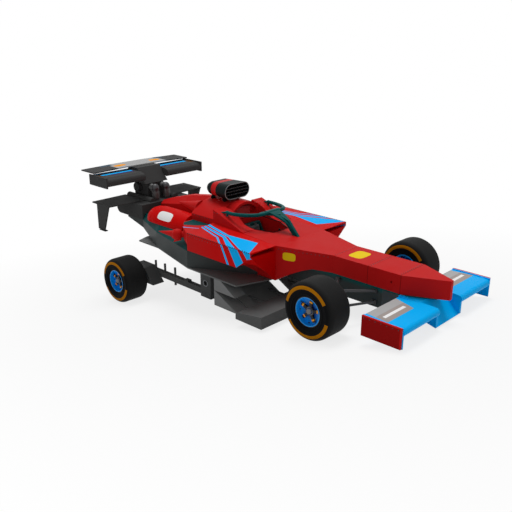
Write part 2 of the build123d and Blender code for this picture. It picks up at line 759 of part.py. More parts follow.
# ---- sidepods ------------------------------------------------------------------
def sidepod():
    """Left sidepod: inlet under a thin lip, chin that cuts back, tail swept to the cover."""
    inner = SHOULDER_HALF + SEAT
    chin = FLOOR_Z + FLOOR_THICK + POD_CHIN_INNER
    shell = ruled([
        [(POD_REAR_X, POD_OUTER, POD_BOTTOM), (POD_REAR_X, POD_OUTER, POD_TOP),
         (POD_LIP_X, POD_OUTER, POD_TOP), (POD_LIP_X, POD_OUTER, POD_LIP_BOTTOM),
         (POD_CHIN_X, POD_OUTER, POD_BOTTOM)],
        [(POD_REAR_X, inner, POD_BOTTOM), (POD_REAR_X, inner, POD_INNER_TOP),
         (SHOULDER_X, inner, SHOULDER_TOP), (SHOULDER_X, inner, chin), (UNDERCUT_X, inner, POD_BOTTOM)],
    ])
    tail = [(POD_REAR_X + WELD, POD_OUTER), (POD_TAIL_MID_X, POD_TAIL_MID_Y),
            (POD_TAIL_END_X, POD_TAIL_END_Y), (POD_TAIL_END_X, inner), (POD_REAR_X + WELD, inner)]
    shell += slab(tail, POD_TAIL_Z, POD_TOP)
    lip_x = POD_LIP_X + INLET_WALL
    deep_x = POD_LIP_X - INLET_DEPTH
    duct_in, duct_out = inner + INLET_WALL, POD_OUTER - INLET_WALL
    roof = POD_TOP - INLET_ROOF
    inlet = ruled([
        [(lip_x, duct_in, POD_LIP_BOTTOM - INLET_MOUTH_LOW), (lip_x, duct_out, POD_LIP_BOTTOM),
         (lip_x, duct_out, roof), (lip_x, duct_in, roof)],
        [(deep_x, duct_in, POD_LIP_BOTTOM - INLET_DROP), (deep_x, duct_out, POD_LIP_BOTTOM - INLET_DROP),
         (deep_x, duct_out, roof), (deep_x, duct_in, roof)],
    ])
    return shell - inlet


def pod_tail_cone():
    """Turned cone behind a sidepod, pointing aft and out, on a ball, a stem and a fin."""
    centre_point = (CONE_BALL_X, CONE_Y, CONE_Z)
    turn, droop = radians(CONE_SPLAY), radians(CONE_DROOP)
    aim = Vector(-cos(turn) * cos(droop), sin(turn) * cos(droop), -sin(droop))
    skirt_end = Vector(*centre_point) + aim * CONE_SKIRT
    tip = Vector(*centre_point) + aim * CONE_LENGTH
    shape = ball(centre_point, CONE_BALL_R) + rod(centre_point, tuple(skirt_end), CONE_R)
    shape += spike(tuple(skirt_end - aim * WELD), tuple(tip), CONE_R * CONE_NECK, CONE_TIP_R)
    fin = prism([(0, 0), (-CONE_BALL_R, -CONE_FIN_DROP), (CONE_BALL_R, -CONE_FIN_DROP / 2)],
                -CONE_FIN_HALF, CONE_FIN_HALF)
    stem_end = (CONE_BALL_X + CONE_BALL_R * 2, CONE_Y - CONE_BALL_R * 2, CONE_Z)
    stem = rod(centre_point, stem_end, CONE_STEM_R) - pod_cutter()
    return shape + Pos(*centre_point) * fin + stem


def pod_cutter():
    """Sidepod and underbody, a seat's gap larger, that the cone's stem stops at."""
    gap = SEAT * sqrt(2)
    tail = [(POD_REAR_X, POD_OUTER + gap), (POD_TAIL_MID_X - gap, POD_TAIL_MID_Y + gap),
            (POD_TAIL_END_X - gap, POD_TAIL_END_Y), (POD_TAIL_END_X - gap, SHOULDER_HALF),
            (POD_REAR_X, SHOULDER_HALF)]
    return slab(tail, 0, POD_TOP + SEAT)


# ---- engine cover --------------------------------------------------------------------
def cover_loft(inset, base):
    """Closed form of the engine cover, drawn in by an even inset."""
    half, taper = COVER_HALF - inset, COVER_NOSE_TAPER
    return arched_loft([
        (COVER_FRONT_X - inset, half, base, COVER_SHOULDER - inset, COVER_TOP - taper - inset),
        (COVER_REAR_X + inset, half, base, COVER_SHOULDER - inset, COVER_TOP - inset),
    ])


def engine_cover():
    """Domed cover over the engine, open underneath, on three pillars each side."""
    cover = cover_loft(0, COVER_BASE) - cover_loft(COVER_WALL, COVER_BASE - CUT)
    for start, end in PILLARS:
        for s in (-1, 1):
            y_low, y_high = sorted((s * COVER_HALF, s * (COVER_HALF - PILLAR_THICK)))
            cover += block(COVER_FRONT_X - end, COVER_FRONT_X - start, y_low, y_high,
                           HULL_CREST + SEAT, COVER_BASE + WELD)
    return cover


def engine_block():
    """Plain block for the power unit."""
    front = COVER_FRONT_X - ENGINE_GAP
    low = HULL_CREST + SEAT
    return block(front - ENGINE_LENGTH, front, -ENGINE_WIDTH / 2, ENGINE_WIDTH / 2, low, low + ENGINE_HEIGHT)


# ---- tail ------------------------------------------------------------------------------
def deck_spine():
    """Falling ridge: a narrow crown over flanks that spread to the base."""
    base = HULL_CREST + SEAT
    front = COVER_REAR_X - SEAT
    rings = []
    for share, crown, spread in DECK_STATIONS:
        x = front + (DECK_REAR_X - front) * share
        half = DECK_BASE_HALF * spread
        side = base + (crown - base) * DECK_SIDE
        rings.append([(x, -half, base), (x, half, base), (x, half, side), (x, DECK_CROWN_HALF, crown),
                      (x, -DECK_CROWN_HALF, crown), (x, -half, side)])
    shape = ruled(rings[:2])
    for ahead, behind in zip(rings[1:], rings[2:]):
        shape += ruled([ahead, behind])
    return shape


def tail_deck():
    """Ridge from the engine cover to the tail, with a spike on each flank."""
    shape = deck_spine()
    front = COVER_REAR_X - SEAT
    for s in (-1, 1):
        root = (front, s * SPIKE_Y, SPIKE_Z)
        tip = (front - SPIKE_LENGTH, s * SPIKE_Y, SPIKE_Z)
        shape += spike(root, tip, SPIKE_R, 0)
    return shape


def barrel_wire(x, radius):
    """Half round standing on the underbody's top, closed along its flat."""
    base, y = HULL_CREST + SEAT, BARREL_AXIS_Y
    arc = Edge.make_three_point_arc((x, y + radius, base), (x, y, base + radius), (x, y - radius, base))
    return Wire([arc, Edge.make_line((x, y - radius, base), (x, y + radius, base))])


def tail_barrel():
    """Half-round fairing along the flank, its aft end rounded off."""
    front = COVER_REAR_X - SEAT
    wires = [barrel_wire(front - share * BARREL_LENGTH, BARREL_R * size) for share, size in BARREL_STATIONS]
    return Solid.make_loft(wires, ruled=True)


def tail_block():
    """Tail end with a rounded lower corner, two open tube stubs and the jack's bore."""
    front = HULL_TAIL_X - SEAT
    low = HULL_EDGE_Z
    upper = block(TAIL_REAR_X, front, -TAIL_HALF, TAIL_HALF, low, TAIL_TOP)
    corner = upper.edges().filter_by(Axis.Y).group_by(Axis.Z)[0].sort_by(Axis.X)[0]
    body = fillet(corner, TAIL_CORNER_R)
    for s in (-1, 1):
        y, z = s * TAIL_TUBE_Y, TAIL_TOP + TAIL_TUBE_RISE
        body += rod((TAIL_REAR_X + WELD, y, z), (front - TAIL_TUBE_R, y, z), TAIL_TUBE_R)
        mouth = TAIL_REAR_X + TAIL_TUBE_BORE
        body -= rod((TAIL_REAR_X - CUT, y, z), (mouth, y, z), TAIL_TUBE_R - TAIL_TUBE_WALL)
    x, z = TAIL_REAR_X + JACK_INSET, TAIL_BOTTOM + JACK_RISE
    reach = TAIL_HALF + CUT
    return body - rod((x, -reach, z), (x, reach, z), JACK_R)


def tail_pipe():
    """Exhaust: an upright pipe with a ball top."""
    top = (PIPE_X, PIPE_Y, PIPE_Z)
    return ball(top, PIPE_R) + rod(top, (PIPE_X, PIPE_Y, TAIL_TOP + SEAT), PIPE_R - PIPE_NECK)


# ---- air intake ------------------------------------------------------------------
def oval_wire(x, half, height, mid_z):
    """Flattened oval across the car with round ends."""
    r = height / 2
    arcs = [
        Edge.make_three_point_arc((x, half - r, mid_z - r), (x, half, mid_z), (x, half - r, mid_z + r)),
        Edge.make_three_point_arc((x, r - half, mid_z + r), (x, -half, mid_z), (x, r - half, mid_z - r)),
    ]
    lines = [
        Edge.make_line((x, half - r, mid_z + r), (x, r - half, mid_z + r)),
        Edge.make_line((x, r - half, mid_z - r), (x, half - r, mid_z - r)),
    ]
    return Wire([arcs[0], lines[0], arcs[1], lines[1]])


def scoop_size(x, wall):
    """Half width and height of the intake at x, drawn in by a wall."""
    share = (SCOOP_FRONT_X - x) / SCOOP_LENGTH
    half = SCOOP_HALF - SCOOP_TAPER * share - wall
    return half, SCOOP_HEIGHT - SCOOP_SHRINK * share - 2 * wall


def scoop_loft(x_front, x_rear, wall):
    """Tapered oval between two planes across the car."""
    wires = [oval_wire(x, *scoop_size(x, wall), SCOOP_MID_Z) for x in (x_front, x_rear)]
    return Solid.make_loft(wires, ruled=True)


def air_scoop():
    """Oval intake over the engine cover, hollow at the mouth, on four struts."""
    bend = SCOOP_REAR_X + SCOOP_ROUND
    shell = scoop_loft(SCOOP_FRONT_X, bend, 0)
    end = oval_wire(SCOOP_REAR_X, *scoop_size(SCOOP_REAR_X, SCOOP_ROUND / 2), SCOOP_MID_Z)
    shell += Solid.make_loft([oval_wire(bend, *scoop_size(bend, 0), SCOOP_MID_Z), end], ruled=True)
    hollow = scoop_loft(SCOOP_FRONT_X + CUT, SCOOP_FRONT_X - SCOOP_DUCT, SCOOP_WALL)
    struts = []
    for back in STRUT_BACK:
        x = SCOOP_FRONT_X - back
        low = SCOOP_MID_Z - scoop_size(x, 0)[1] / 2 + STRUT_SINK
        for y in (-STRUT_Y, STRUT_Y):
            struts.append(rod((x, y, COVER_SHOULDER), (x, y, low), STRUT_R))
    return (shell - hollow + struts) - cover_loft(-SEAT, COVER_BASE)


def scoop_grille():
    """Mesh bars across the intake's mouth, each cut to the oval's height."""
    x = SCOOP_FRONT_X - SCOOP_BAR_INSET
    half, height = scoop_size(x + SCOOP_BAR_R, SCOOP_WALL)
    radius = height / 2 - SEAT
    flat = half - height / 2
    reach = flat + sqrt(radius ** 2 - SCOOP_BAR_R ** 2) - SCOOP_TAPER / SCOOP_LENGTH * SCOOP_BAR_R * 2
    grille = rod((x, -reach, SCOOP_MID_Z), (x, reach, SCOOP_MID_Z), SCOOP_BAR_R)
    taper = SCOOP_SHRINK / SCOOP_LENGTH * SCOOP_BAR_R
    for i in range(SCOOP_BARS):
        y = (2 * (i + 1) / (SCOOP_BARS + 1) - 1) * half
        into_round = max(0.0, abs(y) + SCOOP_BAR_R - flat)
        rise = sqrt(radius ** 2 - into_round ** 2) - taper
        grille += rod((x, y, SCOOP_MID_Z - rise), (x, y, SCOOP_MID_Z + rise), SCOOP_BAR_R)
    return grille


# ---- wings ---------------------------------------------------------------------
def wing_section(le_x, te_x, bottom, top, te_bottom, y_low, y_high):
    """Thick wing with a half-round leading edge and a flat top, between two Y planes."""
    radius = FRONT_WING_LE_R if le_x > 0 else REAR_WING_LE_R
    edge_x = le_x - radius
    low = (edge_x, y_low, bottom)
    nose = (le_x, y_low, bottom + radius)
    high = (edge_x, y_low, bottom + 2 * radius)
    arc = Edge.make_three_point_arc(low, nose, high)
    rest = Polyline(high, (edge_x - radius, y_low, top), (te_x, y_low, top), (te_x, y_low, te_bottom), low)
    return Solid.extrude(make_face([arc] + list(rest.edges())).face(), Vector(0, y_high - y_low, 0))


def front_wing_plane():
    """Left half of the front wing with its inner plate and its grooved fence."""
    plate_y = PLATE_INNER_Y - SEAT - INNER_PLATE_THICK
    plane = wing_section(FRONT_WING_LE_X, FRONT_WING_TE_X, FRONT_WING_BOTTOM, FRONT_WING_TOP,
                         FRONT_WING_TE_BOTTOM, FRONT_WING_INNER, plate_y + WELD)
    nose = PLATE_FRONT_X + INNER_PLATE_NOSE
    plate = prism([(nose, PLATE_BOTTOM), (nose, PLATE_TOP), (FRONT_WING_TE_X, PLATE_TOP),
                   (FRONT_WING_TE_X, PLATE_BOTTOM)], plate_y, plate_y + INNER_PLATE_THICK)
    y_low, y_high = FRONT_WING_INNER, FRONT_WING_INNER + FENCE_THICK
    fence = prism(
        [(PLATE_FRONT_X, PLATE_BOTTOM), (PLATE_FRONT_X, FENCE_NOSE_TOP),
         (FRONT_WING_TE_X + FENCE_FLAT, FENCE_TOP), (FRONT_WING_TE_X, FENCE_TOP),
         (FRONT_WING_TE_X, FRONT_WING_BOTTOM)], y_low, y_high)
    groove_y = (y_low + y_high - FENCE_GROOVE) / 2
    drop = FENCE_GROOVE_DEPTH
    groove = prism(
        [(PLATE_FRONT_X + CUT, FENCE_NOSE_TOP - drop), (FRONT_WING_TE_X + FENCE_FLAT, FENCE_TOP - drop),
         (FRONT_WING_TE_X - CUT, FENCE_TOP - drop), (FRONT_WING_TE_X - CUT, FENCE_TOP + CUT),
         (PLATE_FRONT_X + CUT, FENCE_TOP + CUT)], groove_y, groove_y + FENCE_GROOVE)
    return plane + plate + (fence - groove)


def front_wing_centre():
    """Centre wedge under the nose that joins the two halves."""
    roof = TRAY_TOP - TRAY_THICK - SEAT
    half = FRONT_WING_INNER - SEAT
    return prism([(WEDGE_FRONT_X, WEDGE_BOTTOM), (WEDGE_TOP_X, roof), (NOSE_JOINT_X, roof),
                  (NOSE_JOINT_X, 0)], -half, half)


def front_endplate():
    """Flat plate at the tip of the front wing."""
    return block(FRONT_WING_TE_X, PLATE_FRONT_X, PLATE_INNER_Y, PLATE_OUTER_Y, PLATE_BOTTOM, PLATE_TOP)


def rear_wing_half():
    """Left half of the lower rear wing with its endplate."""
    plate_y = REAR_WING_HALF - REAR_PLATE_THICK
    low, high = REAR_WING_BOTTOM + REAR_WING_INSET, REAR_WING_TOP - REAR_WING_INSET
    plane = wing_section(REAR_WING_FRONT_X, TAIL_REAR_X, low, high, high - REAR_WING_TE_TALL,
                         PYLON_HALF + SEAT, plate_y + WELD)
    plate = block(TAIL_REAR_X, REAR_WING_FRONT_X, plate_y, REAR_WING_HALF, REAR_WING_BOTTOM, REAR_WING_TOP)
    return plane + plate


def wing_pylon():
    """Pylon that carries the rear wing, its front face leaning aft, with a round boss."""
    head = prism(
        [(PYLON_FRONT_X, PYLON_NECK_Z), (PYLON_TOP_X, PYLON_TOP), (TAIL_REAR_X, PYLON_TOP),
         (TAIL_REAR_X, PYLON_NECK_Z + PYLON_HEEL), (PYLON_HEEL_X, PYLON_NECK_Z)],
        -PYLON_HALF, PYLON_HALF)
    neck = block(PYLON_NECK_REAR_X, PYLON_NECK_FRONT_X, -PYLON_NECK_HALF, PYLON_NECK_HALF,
                 TAIL_TOP + SEAT, PYLON_NECK_Z + WELD)
    boss = rod((BOSS_X, -BOSS_HALF, BOSS_Z), (BOSS_X, BOSS_HALF, BOSS_Z), BOSS_R)
    tubes = []
    for s in (-1, 1):
        y, z = s * TAIL_TUBE_Y, TAIL_TOP + TAIL_TUBE_RISE
        tubes.append(rod((TAIL_REAR_X, y, z), (HULL_TAIL_X, y, z), TAIL_TUBE_R + SEAT))
    return head + neck + boss - tubes


def rear_wing_flap():
    """Thin upper flap in three flats, its tips bent down a little and swept aft."""
    base = PYLON_TOP + SEAT
    flap = block(FLAP_REAR_X, FLAP_FRONT_X, -FLAP_BREAK, FLAP_BREAK, base, base + FLAP_THICK)
    for s in (-1, 1):
        rings = []
        for half, droop, sweep in ((FLAP_BREAK, 0, 0), (FLAP_HALF, FLAP_DROOP, FLAP_SWEEP)):
            low = base - droop
            rings.append([
                (FLAP_FRONT_X, s * half, low), (FLAP_FRONT_X, s * half, low + FLAP_THICK),
                (FLAP_REAR_X - sweep, s * half, low + FLAP_THICK), (FLAP_REAR_X - sweep, s * half, low),
            ])
        flap += ruled(rings)
    return flap


def tailplane():
    """Thin low plane beside the tail with a footed fin hanging from its tip."""
    low = TAILPLANE_Z
    plane = slab(
        [(TAILPLANE_FRONT_X, TAILPLANE_ROOT), (TAILPLANE_FRONT_X - TAILPLANE_SWEEP, TAILPLANE_HALF),
         (TAIL_REAR_X, TAILPLANE_HALF), (TAIL_REAR_X - TAILPLANE_SWEEP, TAILPLANE_ROOT)],
        low, low + TAILPLANE_THICK)
    front = TAILPLANE_FRONT_X - TAILPLANE_SWEEP
    rear = TAILPLANE_FRONT_X - FIN_REAR_BACK
    foot_z = low - FIN_DROP
    fin = prism(
        [(front - FIN_TOP_BACK, low + WELD), (front - FIN_LOW_BACK, foot_z),
         (rear, foot_z), (rear, low + WELD)],
        TAILPLANE_HALF - FIN_THICK, TAILPLANE_HALF)
    heel = front - FIN_LOW_BACK + FIN_FOOT_AHEAD
    y = TAILPLANE_HALF - FIN_THICK / 2
    foot = block(heel - FIN_FOOT_LENGTH, heel, y - FIN_FOOT_HALF, y + FIN_FOOT_HALF,
                 foot_z - FIN_FOOT_THICK, foot_z + WELD)
    return plane + fin + foot


# ---- wheels ----------------------------------------------------------------------
def tyre():
    """Tyre with round shoulders; axis along Y, outboard side towards +Y."""
    half = TYRE_WIDTH / 2
    shoulder = TYRE_SHOULDER
    inner = BEAD_R + SEAT
    low, high = half - BEAD_INSET, TYRE_R - shoulder
    turn = [i * 90 / SHOULDER_CHORDS for i in range(SHOULDER_CHORDS + 1)]
    outer = [(high + shoulder * sin(radians(a)), half - shoulder * (1 - cos(radians(a)))) for a in turn]
    inner_side = [(r, -y) for r, y in reversed(outer)]
    ring = [(0, r, y) for r, y in [(inner, -low), (inner, low), *outer, *inner_side]]
    return Rot(90, 0, 0) * revolve(make_face(Polyline(*ring, close=True)).face(), Axis.Z)


def rim():
    """Wheel: barrel, dished face with raised spokes, hub with the axle's bore, ball cap."""
    half = TYRE_WIDTH / 2 - RIM_INSET
    face_z = half - RIM_DISH
    hub_low = RIM_HUB_LOW - half
    barrel = Cylinder(BEAD_R, 2 * half) - Cylinder(BEAD_R - RIM_WALL, 2 * half + CUT)
    disc = Pos(0, 0, face_z - RIM_FACE / 2) * Cylinder(BEAD_R - WELD, RIM_FACE)
    hub = Pos(0, 0, (hub_low + face_z + CAP_RISE) / 2) * Cylinder(RIM_HUB_R, face_z + CAP_RISE - hub_low)
    whole = barrel + disc + hub
    middle = (RIM_HUB_R + SPOKE_REACH) / 2
    for i in range(SPOKES):
        bar = Pos(middle, 0, face_z) * Box(SPOKE_REACH - RIM_HUB_R + WELD, SPOKE_WIDTH, SPOKE_TALL * 2)
        whole += Rot(0, 0, i * 360 / SPOKES) * bar
    whole += Pos(0, 0, face_z + CAP_RISE) * Sphere(CAP_R)
    depth = face_z - CUT - hub_low
    whole -= Pos(0, 0, hub_low + depth / 2 - CUT) * Cylinder(AXLE_R + RUNNING, depth + CUT)
    return Rot(-90, 0, 0) * whole


AXLES = {
    "front": (0.0, FRONT_TRACK / 2),
    "rear": (-WHEELBASE, REAR_TRACK / 2),
}
# axle's end, from the tyre's middle plane
AXLE_TIP = TYRE_WIDTH / 2 - RIM_INSET - RIM_DISH - CLEAR


def to_corner(shape, axle, side):
    """Put a wheel-frame piece (outboard +Y) at one corner of the standing car."""
    x, y = AXLES[axle]
    return Pos(x, side * y, TYRE_R) * on_side(shape, side)


# ---- front suspension --------------------------------------------------------------
def knuckle():
    """Left front knuckle: kingpin post, upright plate, drum and stub axle."""
    post_half = EYE_Z - EYE_HEIGHT / 2 - POST_GAP
    pin_half = EYE_Z + EYE_HEIGHT / 2 + KINGPIN_END
    shape = rod((0, KINGPIN_Y, -post_half), (0, KINGPIN_Y, post_half), POST_R)
    shape += rod((0, KINGPIN_Y, -pin_half), (0, KINGPIN_Y, pin_half), KINGPIN_R)
    shape += block(
        -UPRIGHT_HALF, UPRIGHT_HALF, KINGPIN_Y, KINGPIN_Y + UPRIGHT_HALF, -UPRIGHT_TALL, UPRIGHT_TALL)
    shape += rod((0, KINGPIN_Y + DRUM_START, 0), (0, KINGPIN_Y + DRUM_END, 0), DRUM_R)
    return shape + rod((0, KINGPIN_Y + DRUM_START, 0), (0, FRONT_TRACK / 2 + AXLE_TIP, 0), AXLE_R)


def wishbone(eye_z, root_z):
    """Left arms of one height: two bars from pads on the keel to the kingpin's eye."""
    eye = Cylinder(EYE_R, EYE_HEIGHT) - Cylinder(KINGPIN_R + RUNNING, EYE_HEIGHT + CUT)
    arms = Pos(0, KINGPIN_Y, eye_z) * eye
    root_y = KEEL_HALF + SEAT + PAD_THICK / 2
    for s in (-1, 1):
        x, _, z = standing_point(s * ARM_SPREAD, 0, root_z)
        root = Vector(x, root_y, z - TYRE_R)
        run = Vector(0, KINGPIN_Y, eye_z) - root
        end = Vector(0, KINGPIN_Y, eye_z) - run.normalized() * (EYE_R - EYE_SINK)
        arms += rod((root.X, root.Y + WELD, root.Z), tuple(end), ARM_R)
        arms += Pos(*root) * Rot(0, RAKE, 0) * Box(PAD_LENGTH, PAD_THICK, PAD_TALL)
    return arms


def wishbones():
    """Left upper and lower wishbones, as two solids."""
    high = wishbone(EYE_Z, ARM_ROOT_HIGH)
    low = wishbone(-EYE_Z, ARM_ROOT_LOW)
    return Compound(list(high.solids()) + list(low.solids()))


# ---- rear trailing arms, hangers, ramps, board ----------------------------------------
def trailing_arm():
    """Left rear arm: long beam with pegs, hub carrier and stub axle."""
    y_low, y_high = BEAM_Y - BEAM_WIDTH / 2, BEAM_Y + BEAM_WIDTH / 2
    beam = block(BEAM_REAR_X, HANGER_FRONT_X - BEAM_TONGUE, y_low, y_high, BEAM_BOTTOM, BEAM_TOP)
    for ahead in PEGS:
        x = REAR_AXLE_X + ahead
        beam += rod((x, BEAM_Y, BEAM_TOP - WELD), (x, BEAM_Y, BEAM_TOP + PEG_RISE), PEG_R)
    x = REAR_AXLE_X + PEGS[-1]
    beam += rod((x, BEAM_Y, BEAM_BOTTOM + WELD), (x, BEAM_Y, BEAM_BOTTOM - PEG_DROP), PEG_R)
    x = REAR_AXLE_X + LUG_AHEAD
    beam += block(x, x + LUG_LENGTH, y_low, y_high, BEAM_TOP - WELD, BEAM_TOP + LUG_RISE)
    low, high = -REAR_DROP - CARRIER_DROP, -REAR_DROP + CARRIER_RISE
    beam += prism(
        [(REAR_AXLE_X - CARRIER_BACK, low), (REAR_AXLE_X + CARRIER_AHEAD, low),
         (REAR_AXLE_X + CARRIER_TOP_AHEAD, high), (REAR_AXLE_X - CARRIER_BACK, high)],
        y_high - WELD, CARRIER_OUTER_Y)
    tip = REAR_TRACK / 2 + AXLE_TIP
    root = (REAR_AXLE_X, CARRIER_OUTER_Y - WELD, -REAR_DROP)
    return beam + rod(root, (REAR_AXLE_X, tip, -REAR_DROP), AXLE_R)


def floor_hanger():
    """Left box that hangs under the floor and holds the trailing arm's front end."""
    y_low, y_high = BEAM_Y - HANGER_WIDTH / 2, BEAM_Y + HANGER_WIDTH / 2
    box = block(HANGER_REAR_X, HANGER_FRONT_X, y_low, y_high, BEAM_BOTTOM - HANGER_UNDER, FLOOR_Z - SEAT)
    half = BEAM_WIDTH / 2 + SEAT
    slot = block(HANGER_REAR_X - CUT, HANGER_FRONT_X - BEAM_TONGUE + SEAT, BEAM_Y - half, BEAM_Y + half,
                 BEAM_BOTTOM - SEAT, BEAM_TOP + SEAT)
    x = (HANGER_REAR_X + HANGER_FRONT_X) / 2
    hole = rod((x, y_low - CUT, HANGER_HOLE_Z), (x, y_high + CUT, HANGER_HOLE_Z), HANGER_HOLE_R)
    return box - slot - hole


def floor_ramp():
    """Left ramp under the floor, falling forward, with the two chocks beside it."""
    fall = tan(radians(RAMP_SLOPE))
    top_z = FLOOR_Z - SEAT
    top_x = RAMP_FRONT_X - (top_z - RAMP_FRONT_Z) / fall
    back = RAMP_THICK / sin(radians(RAMP_SLOPE))
    plate = prism([(RAMP_FRONT_X, RAMP_FRONT_Z), (top_x, top_z), (top_x - back, top_z),
                   (RAMP_FRONT_X - back, RAMP_FRONT_Z)], RAMP_INNER_Y, RAMP_OUTER_Y)
    split = CHOCK_SPLIT_Z - WELD
    upper = prism([(CHOCK_REAR_X, top_z), (CHOCK_REAR_X, split), (CHOCK_MID_X, split), (CHOCK_TOP_X, top_z)],
                  CHOCK_INNER_Y, CHOCK_OUTER_Y)
    lower = prism([(CHOCK_REAR_X, CHOCK_SPLIT_Z), (CHOCK_REAR_X, RAMP_FRONT_Z), (RAMP_FRONT_X, RAMP_FRONT_Z)],
                  CHOCK_INNER_Y, CHOCK_OUTER_Y)
    tie = block(CHOCK_REAR_X, CHOCK_REAR_X + TIE_LENGTH, RAMP_OUTER_Y - WELD, CHOCK_INNER_Y + WELD,
                TIE_LOW, TIE_HIGH)
    return plate + upper + lower + tie


def splitter_board():
    """Low board across the car behind the front wheels, on rods from the ramps."""
    top_front, top_rear = BOARD_BOTTOM + BOARD_FRONT_TALL, BOARD_BOTTOM + BOARD_REAR_TALL
    board = prism(
        [(BOARD_FRONT_X, BOARD_BOTTOM), (BOARD_FRONT_X, top_front),
         (BOARD_REAR_X + BOARD_EDGE, top_rear + BOARD_EDGE_RISE),
         (BOARD_REAR_X, top_rear - BOARD_EDGE_DROP), (BOARD_REAR_X, BOARD_BOTTOM)], -BOARD_HALF, BOARD_HALF)
    z = BOARD_BOTTOM + BOARD_ROD_RISE
    on_ramp = RAMP_FRONT_X - (z - RAMP_FRONT_Z) / tan(radians(RAMP_SLOPE))
    for y in BOARD_ROD_YS:
        for s in (-1, 1):
            root = (on_ramp - BOARD_ROD_R, s * y, z)
            board += rod(root, (BOARD_REAR_X + BOARD_ROD_SINK, s * y, z), BOARD_ROD_R)
    return board - ramp_cutter()


def ramp_cutter():
    """Space behind the ramps' sloping faces, a seat's gap larger, where the rods stop."""
    fall = tan(radians(RAMP_SLOPE))
    low_z = RAMP_FRONT_Z - RAMP_THICK
    low_x = RAMP_FRONT_X + RAMP_THICK / fall + SEAT / sin(radians(RAMP_SLOPE))
    top_x = low_x - (FLOOR_Z - low_z) / fall
    outline = [(low_x, low_z), (top_x, FLOOR_Z), (CHOCK_REAR_X - RAMP_OUTER_Y, FLOOR_Z),
               (CHOCK_REAR_X - RAMP_OUTER_Y, low_z)]
    return prism(outline, -RAMP_OUTER_Y - CUT, RAMP_OUTER_Y + CUT)


# ---- assembly ----------------------------------------------------------------------
BODY["nose_cone"] = nose_cone()
BODY["nose_box"] = nose_box()
BODY["monocoque"] = monocoque()
BODY["cockpit_fairings"] = pair(cockpit_fairing())
BODY["headrest"] = headrest()
BODY["seat"] = seat()
BODY["steering_column"] = steering_column()
BODY["steering_wheel"] = steering_wheel()
BODY["halo"] = halo()
BODY["keel"] = keel()
BODY["underbody"] = underbody()
BODY["floor_plate"] = floor_plate()
BODY["pod_tail_cones"] = pair(pod_tail_cone())
BODY["engine_cover"] = engine_cover()
BODY["engine_block"] = engine_block()
BODY["tail_deck"] = tail_deck()
BODY["tail_barrels"] = pair(tail_barrel())
BODY["tail_block"] = tail_block()
BODY["exhaust_pipes"] = pair(tail_pipe())
BODY["air_scoop"] = air_scoop()
BODY["scoop_grille"] = scoop_grille()
BODY["wing_pylon"] = wing_pylon()
BODY["rear_wing_planes"] = pair(rear_wing_half())
BODY["rear_wing_flap"] = rear_wing_flap()
BODY["tailplanes"] = pair(tailplane())
BODY["front_wing_planes"] = pair(front_wing_plane())
BODY["front_wing_centre"] = front_wing_centre()
BODY["front_endplates"] = pair(front_endplate())
BODY["trailing_arms"] = pair(trailing_arm())
BODY["floor_hangers"] = pair(floor_hanger())
BODY["floor_ramps"] = pair(floor_ramp())
BODY["splitter_board"] = splitter_board()
for side_name, side in SIDES.items():
    BODY[f"sidepod_{side_name}"] = on_side(sidepod(), side)

STANDING["front_wishbones"] = Pos(0, 0, TYRE_R) * pair(wishbones())
for side_name, side in SIDES.items():
    STANDING[f"knuckle_{side_name}"] = Pos(0, 0, TYRE_R) * on_side(knuckle(), side)
    for axle_name in AXLES:
        STANDING[f"tyre_{axle_name}_{side_name}"] = to_corner(tyre(), axle_name, side)
        STANDING[f"rim_{axle_name}_{side_name}"] = to_corner(rim(), axle_name, side)

nodes = {name: stand(shape) for name, shape in BODY.items()}
nodes.update(STANDING)

boxes = [shape.bounding_box() for shape in nodes.values()]
x_low = min(box.min.X for box in boxes)
x_high = max(box.max.X for box in boxes)
centre_x = (x_low + x_high) / 2

for name, shape in nodes.items():
    export_step(Pos(-centre_x, 0, 0) * shape, f"parts/{name}.step")

print(f"rake {RAKE:.4f} deg, front axle x {-centre_x:.3f}, rear axle x {-centre_x - WHEELBASE:.3f}")
print(f"length {x_high - x_low:.1f}, lowest {min(box.min.Z for box in boxes):.2f}")
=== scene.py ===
"""Looks of the open wheel racing car: paint, carbon, rubber and the fine parts.

Every length is in metres.  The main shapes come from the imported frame.  This script
dresses them and adds what is too fine for them.  The body was drawn level and then
stood nose-down on its wheels, so a place on it is given on the level body, with its
origin at the middle of the front axle, and Stance turns it into the frame's place.
"""
import logging
import math
from dataclasses import dataclass
from enum import Enum
from functools import reduce
from typing import Callable, Iterable, Optional, Sequence

import bpy
from mathutils import Matrix, Vector

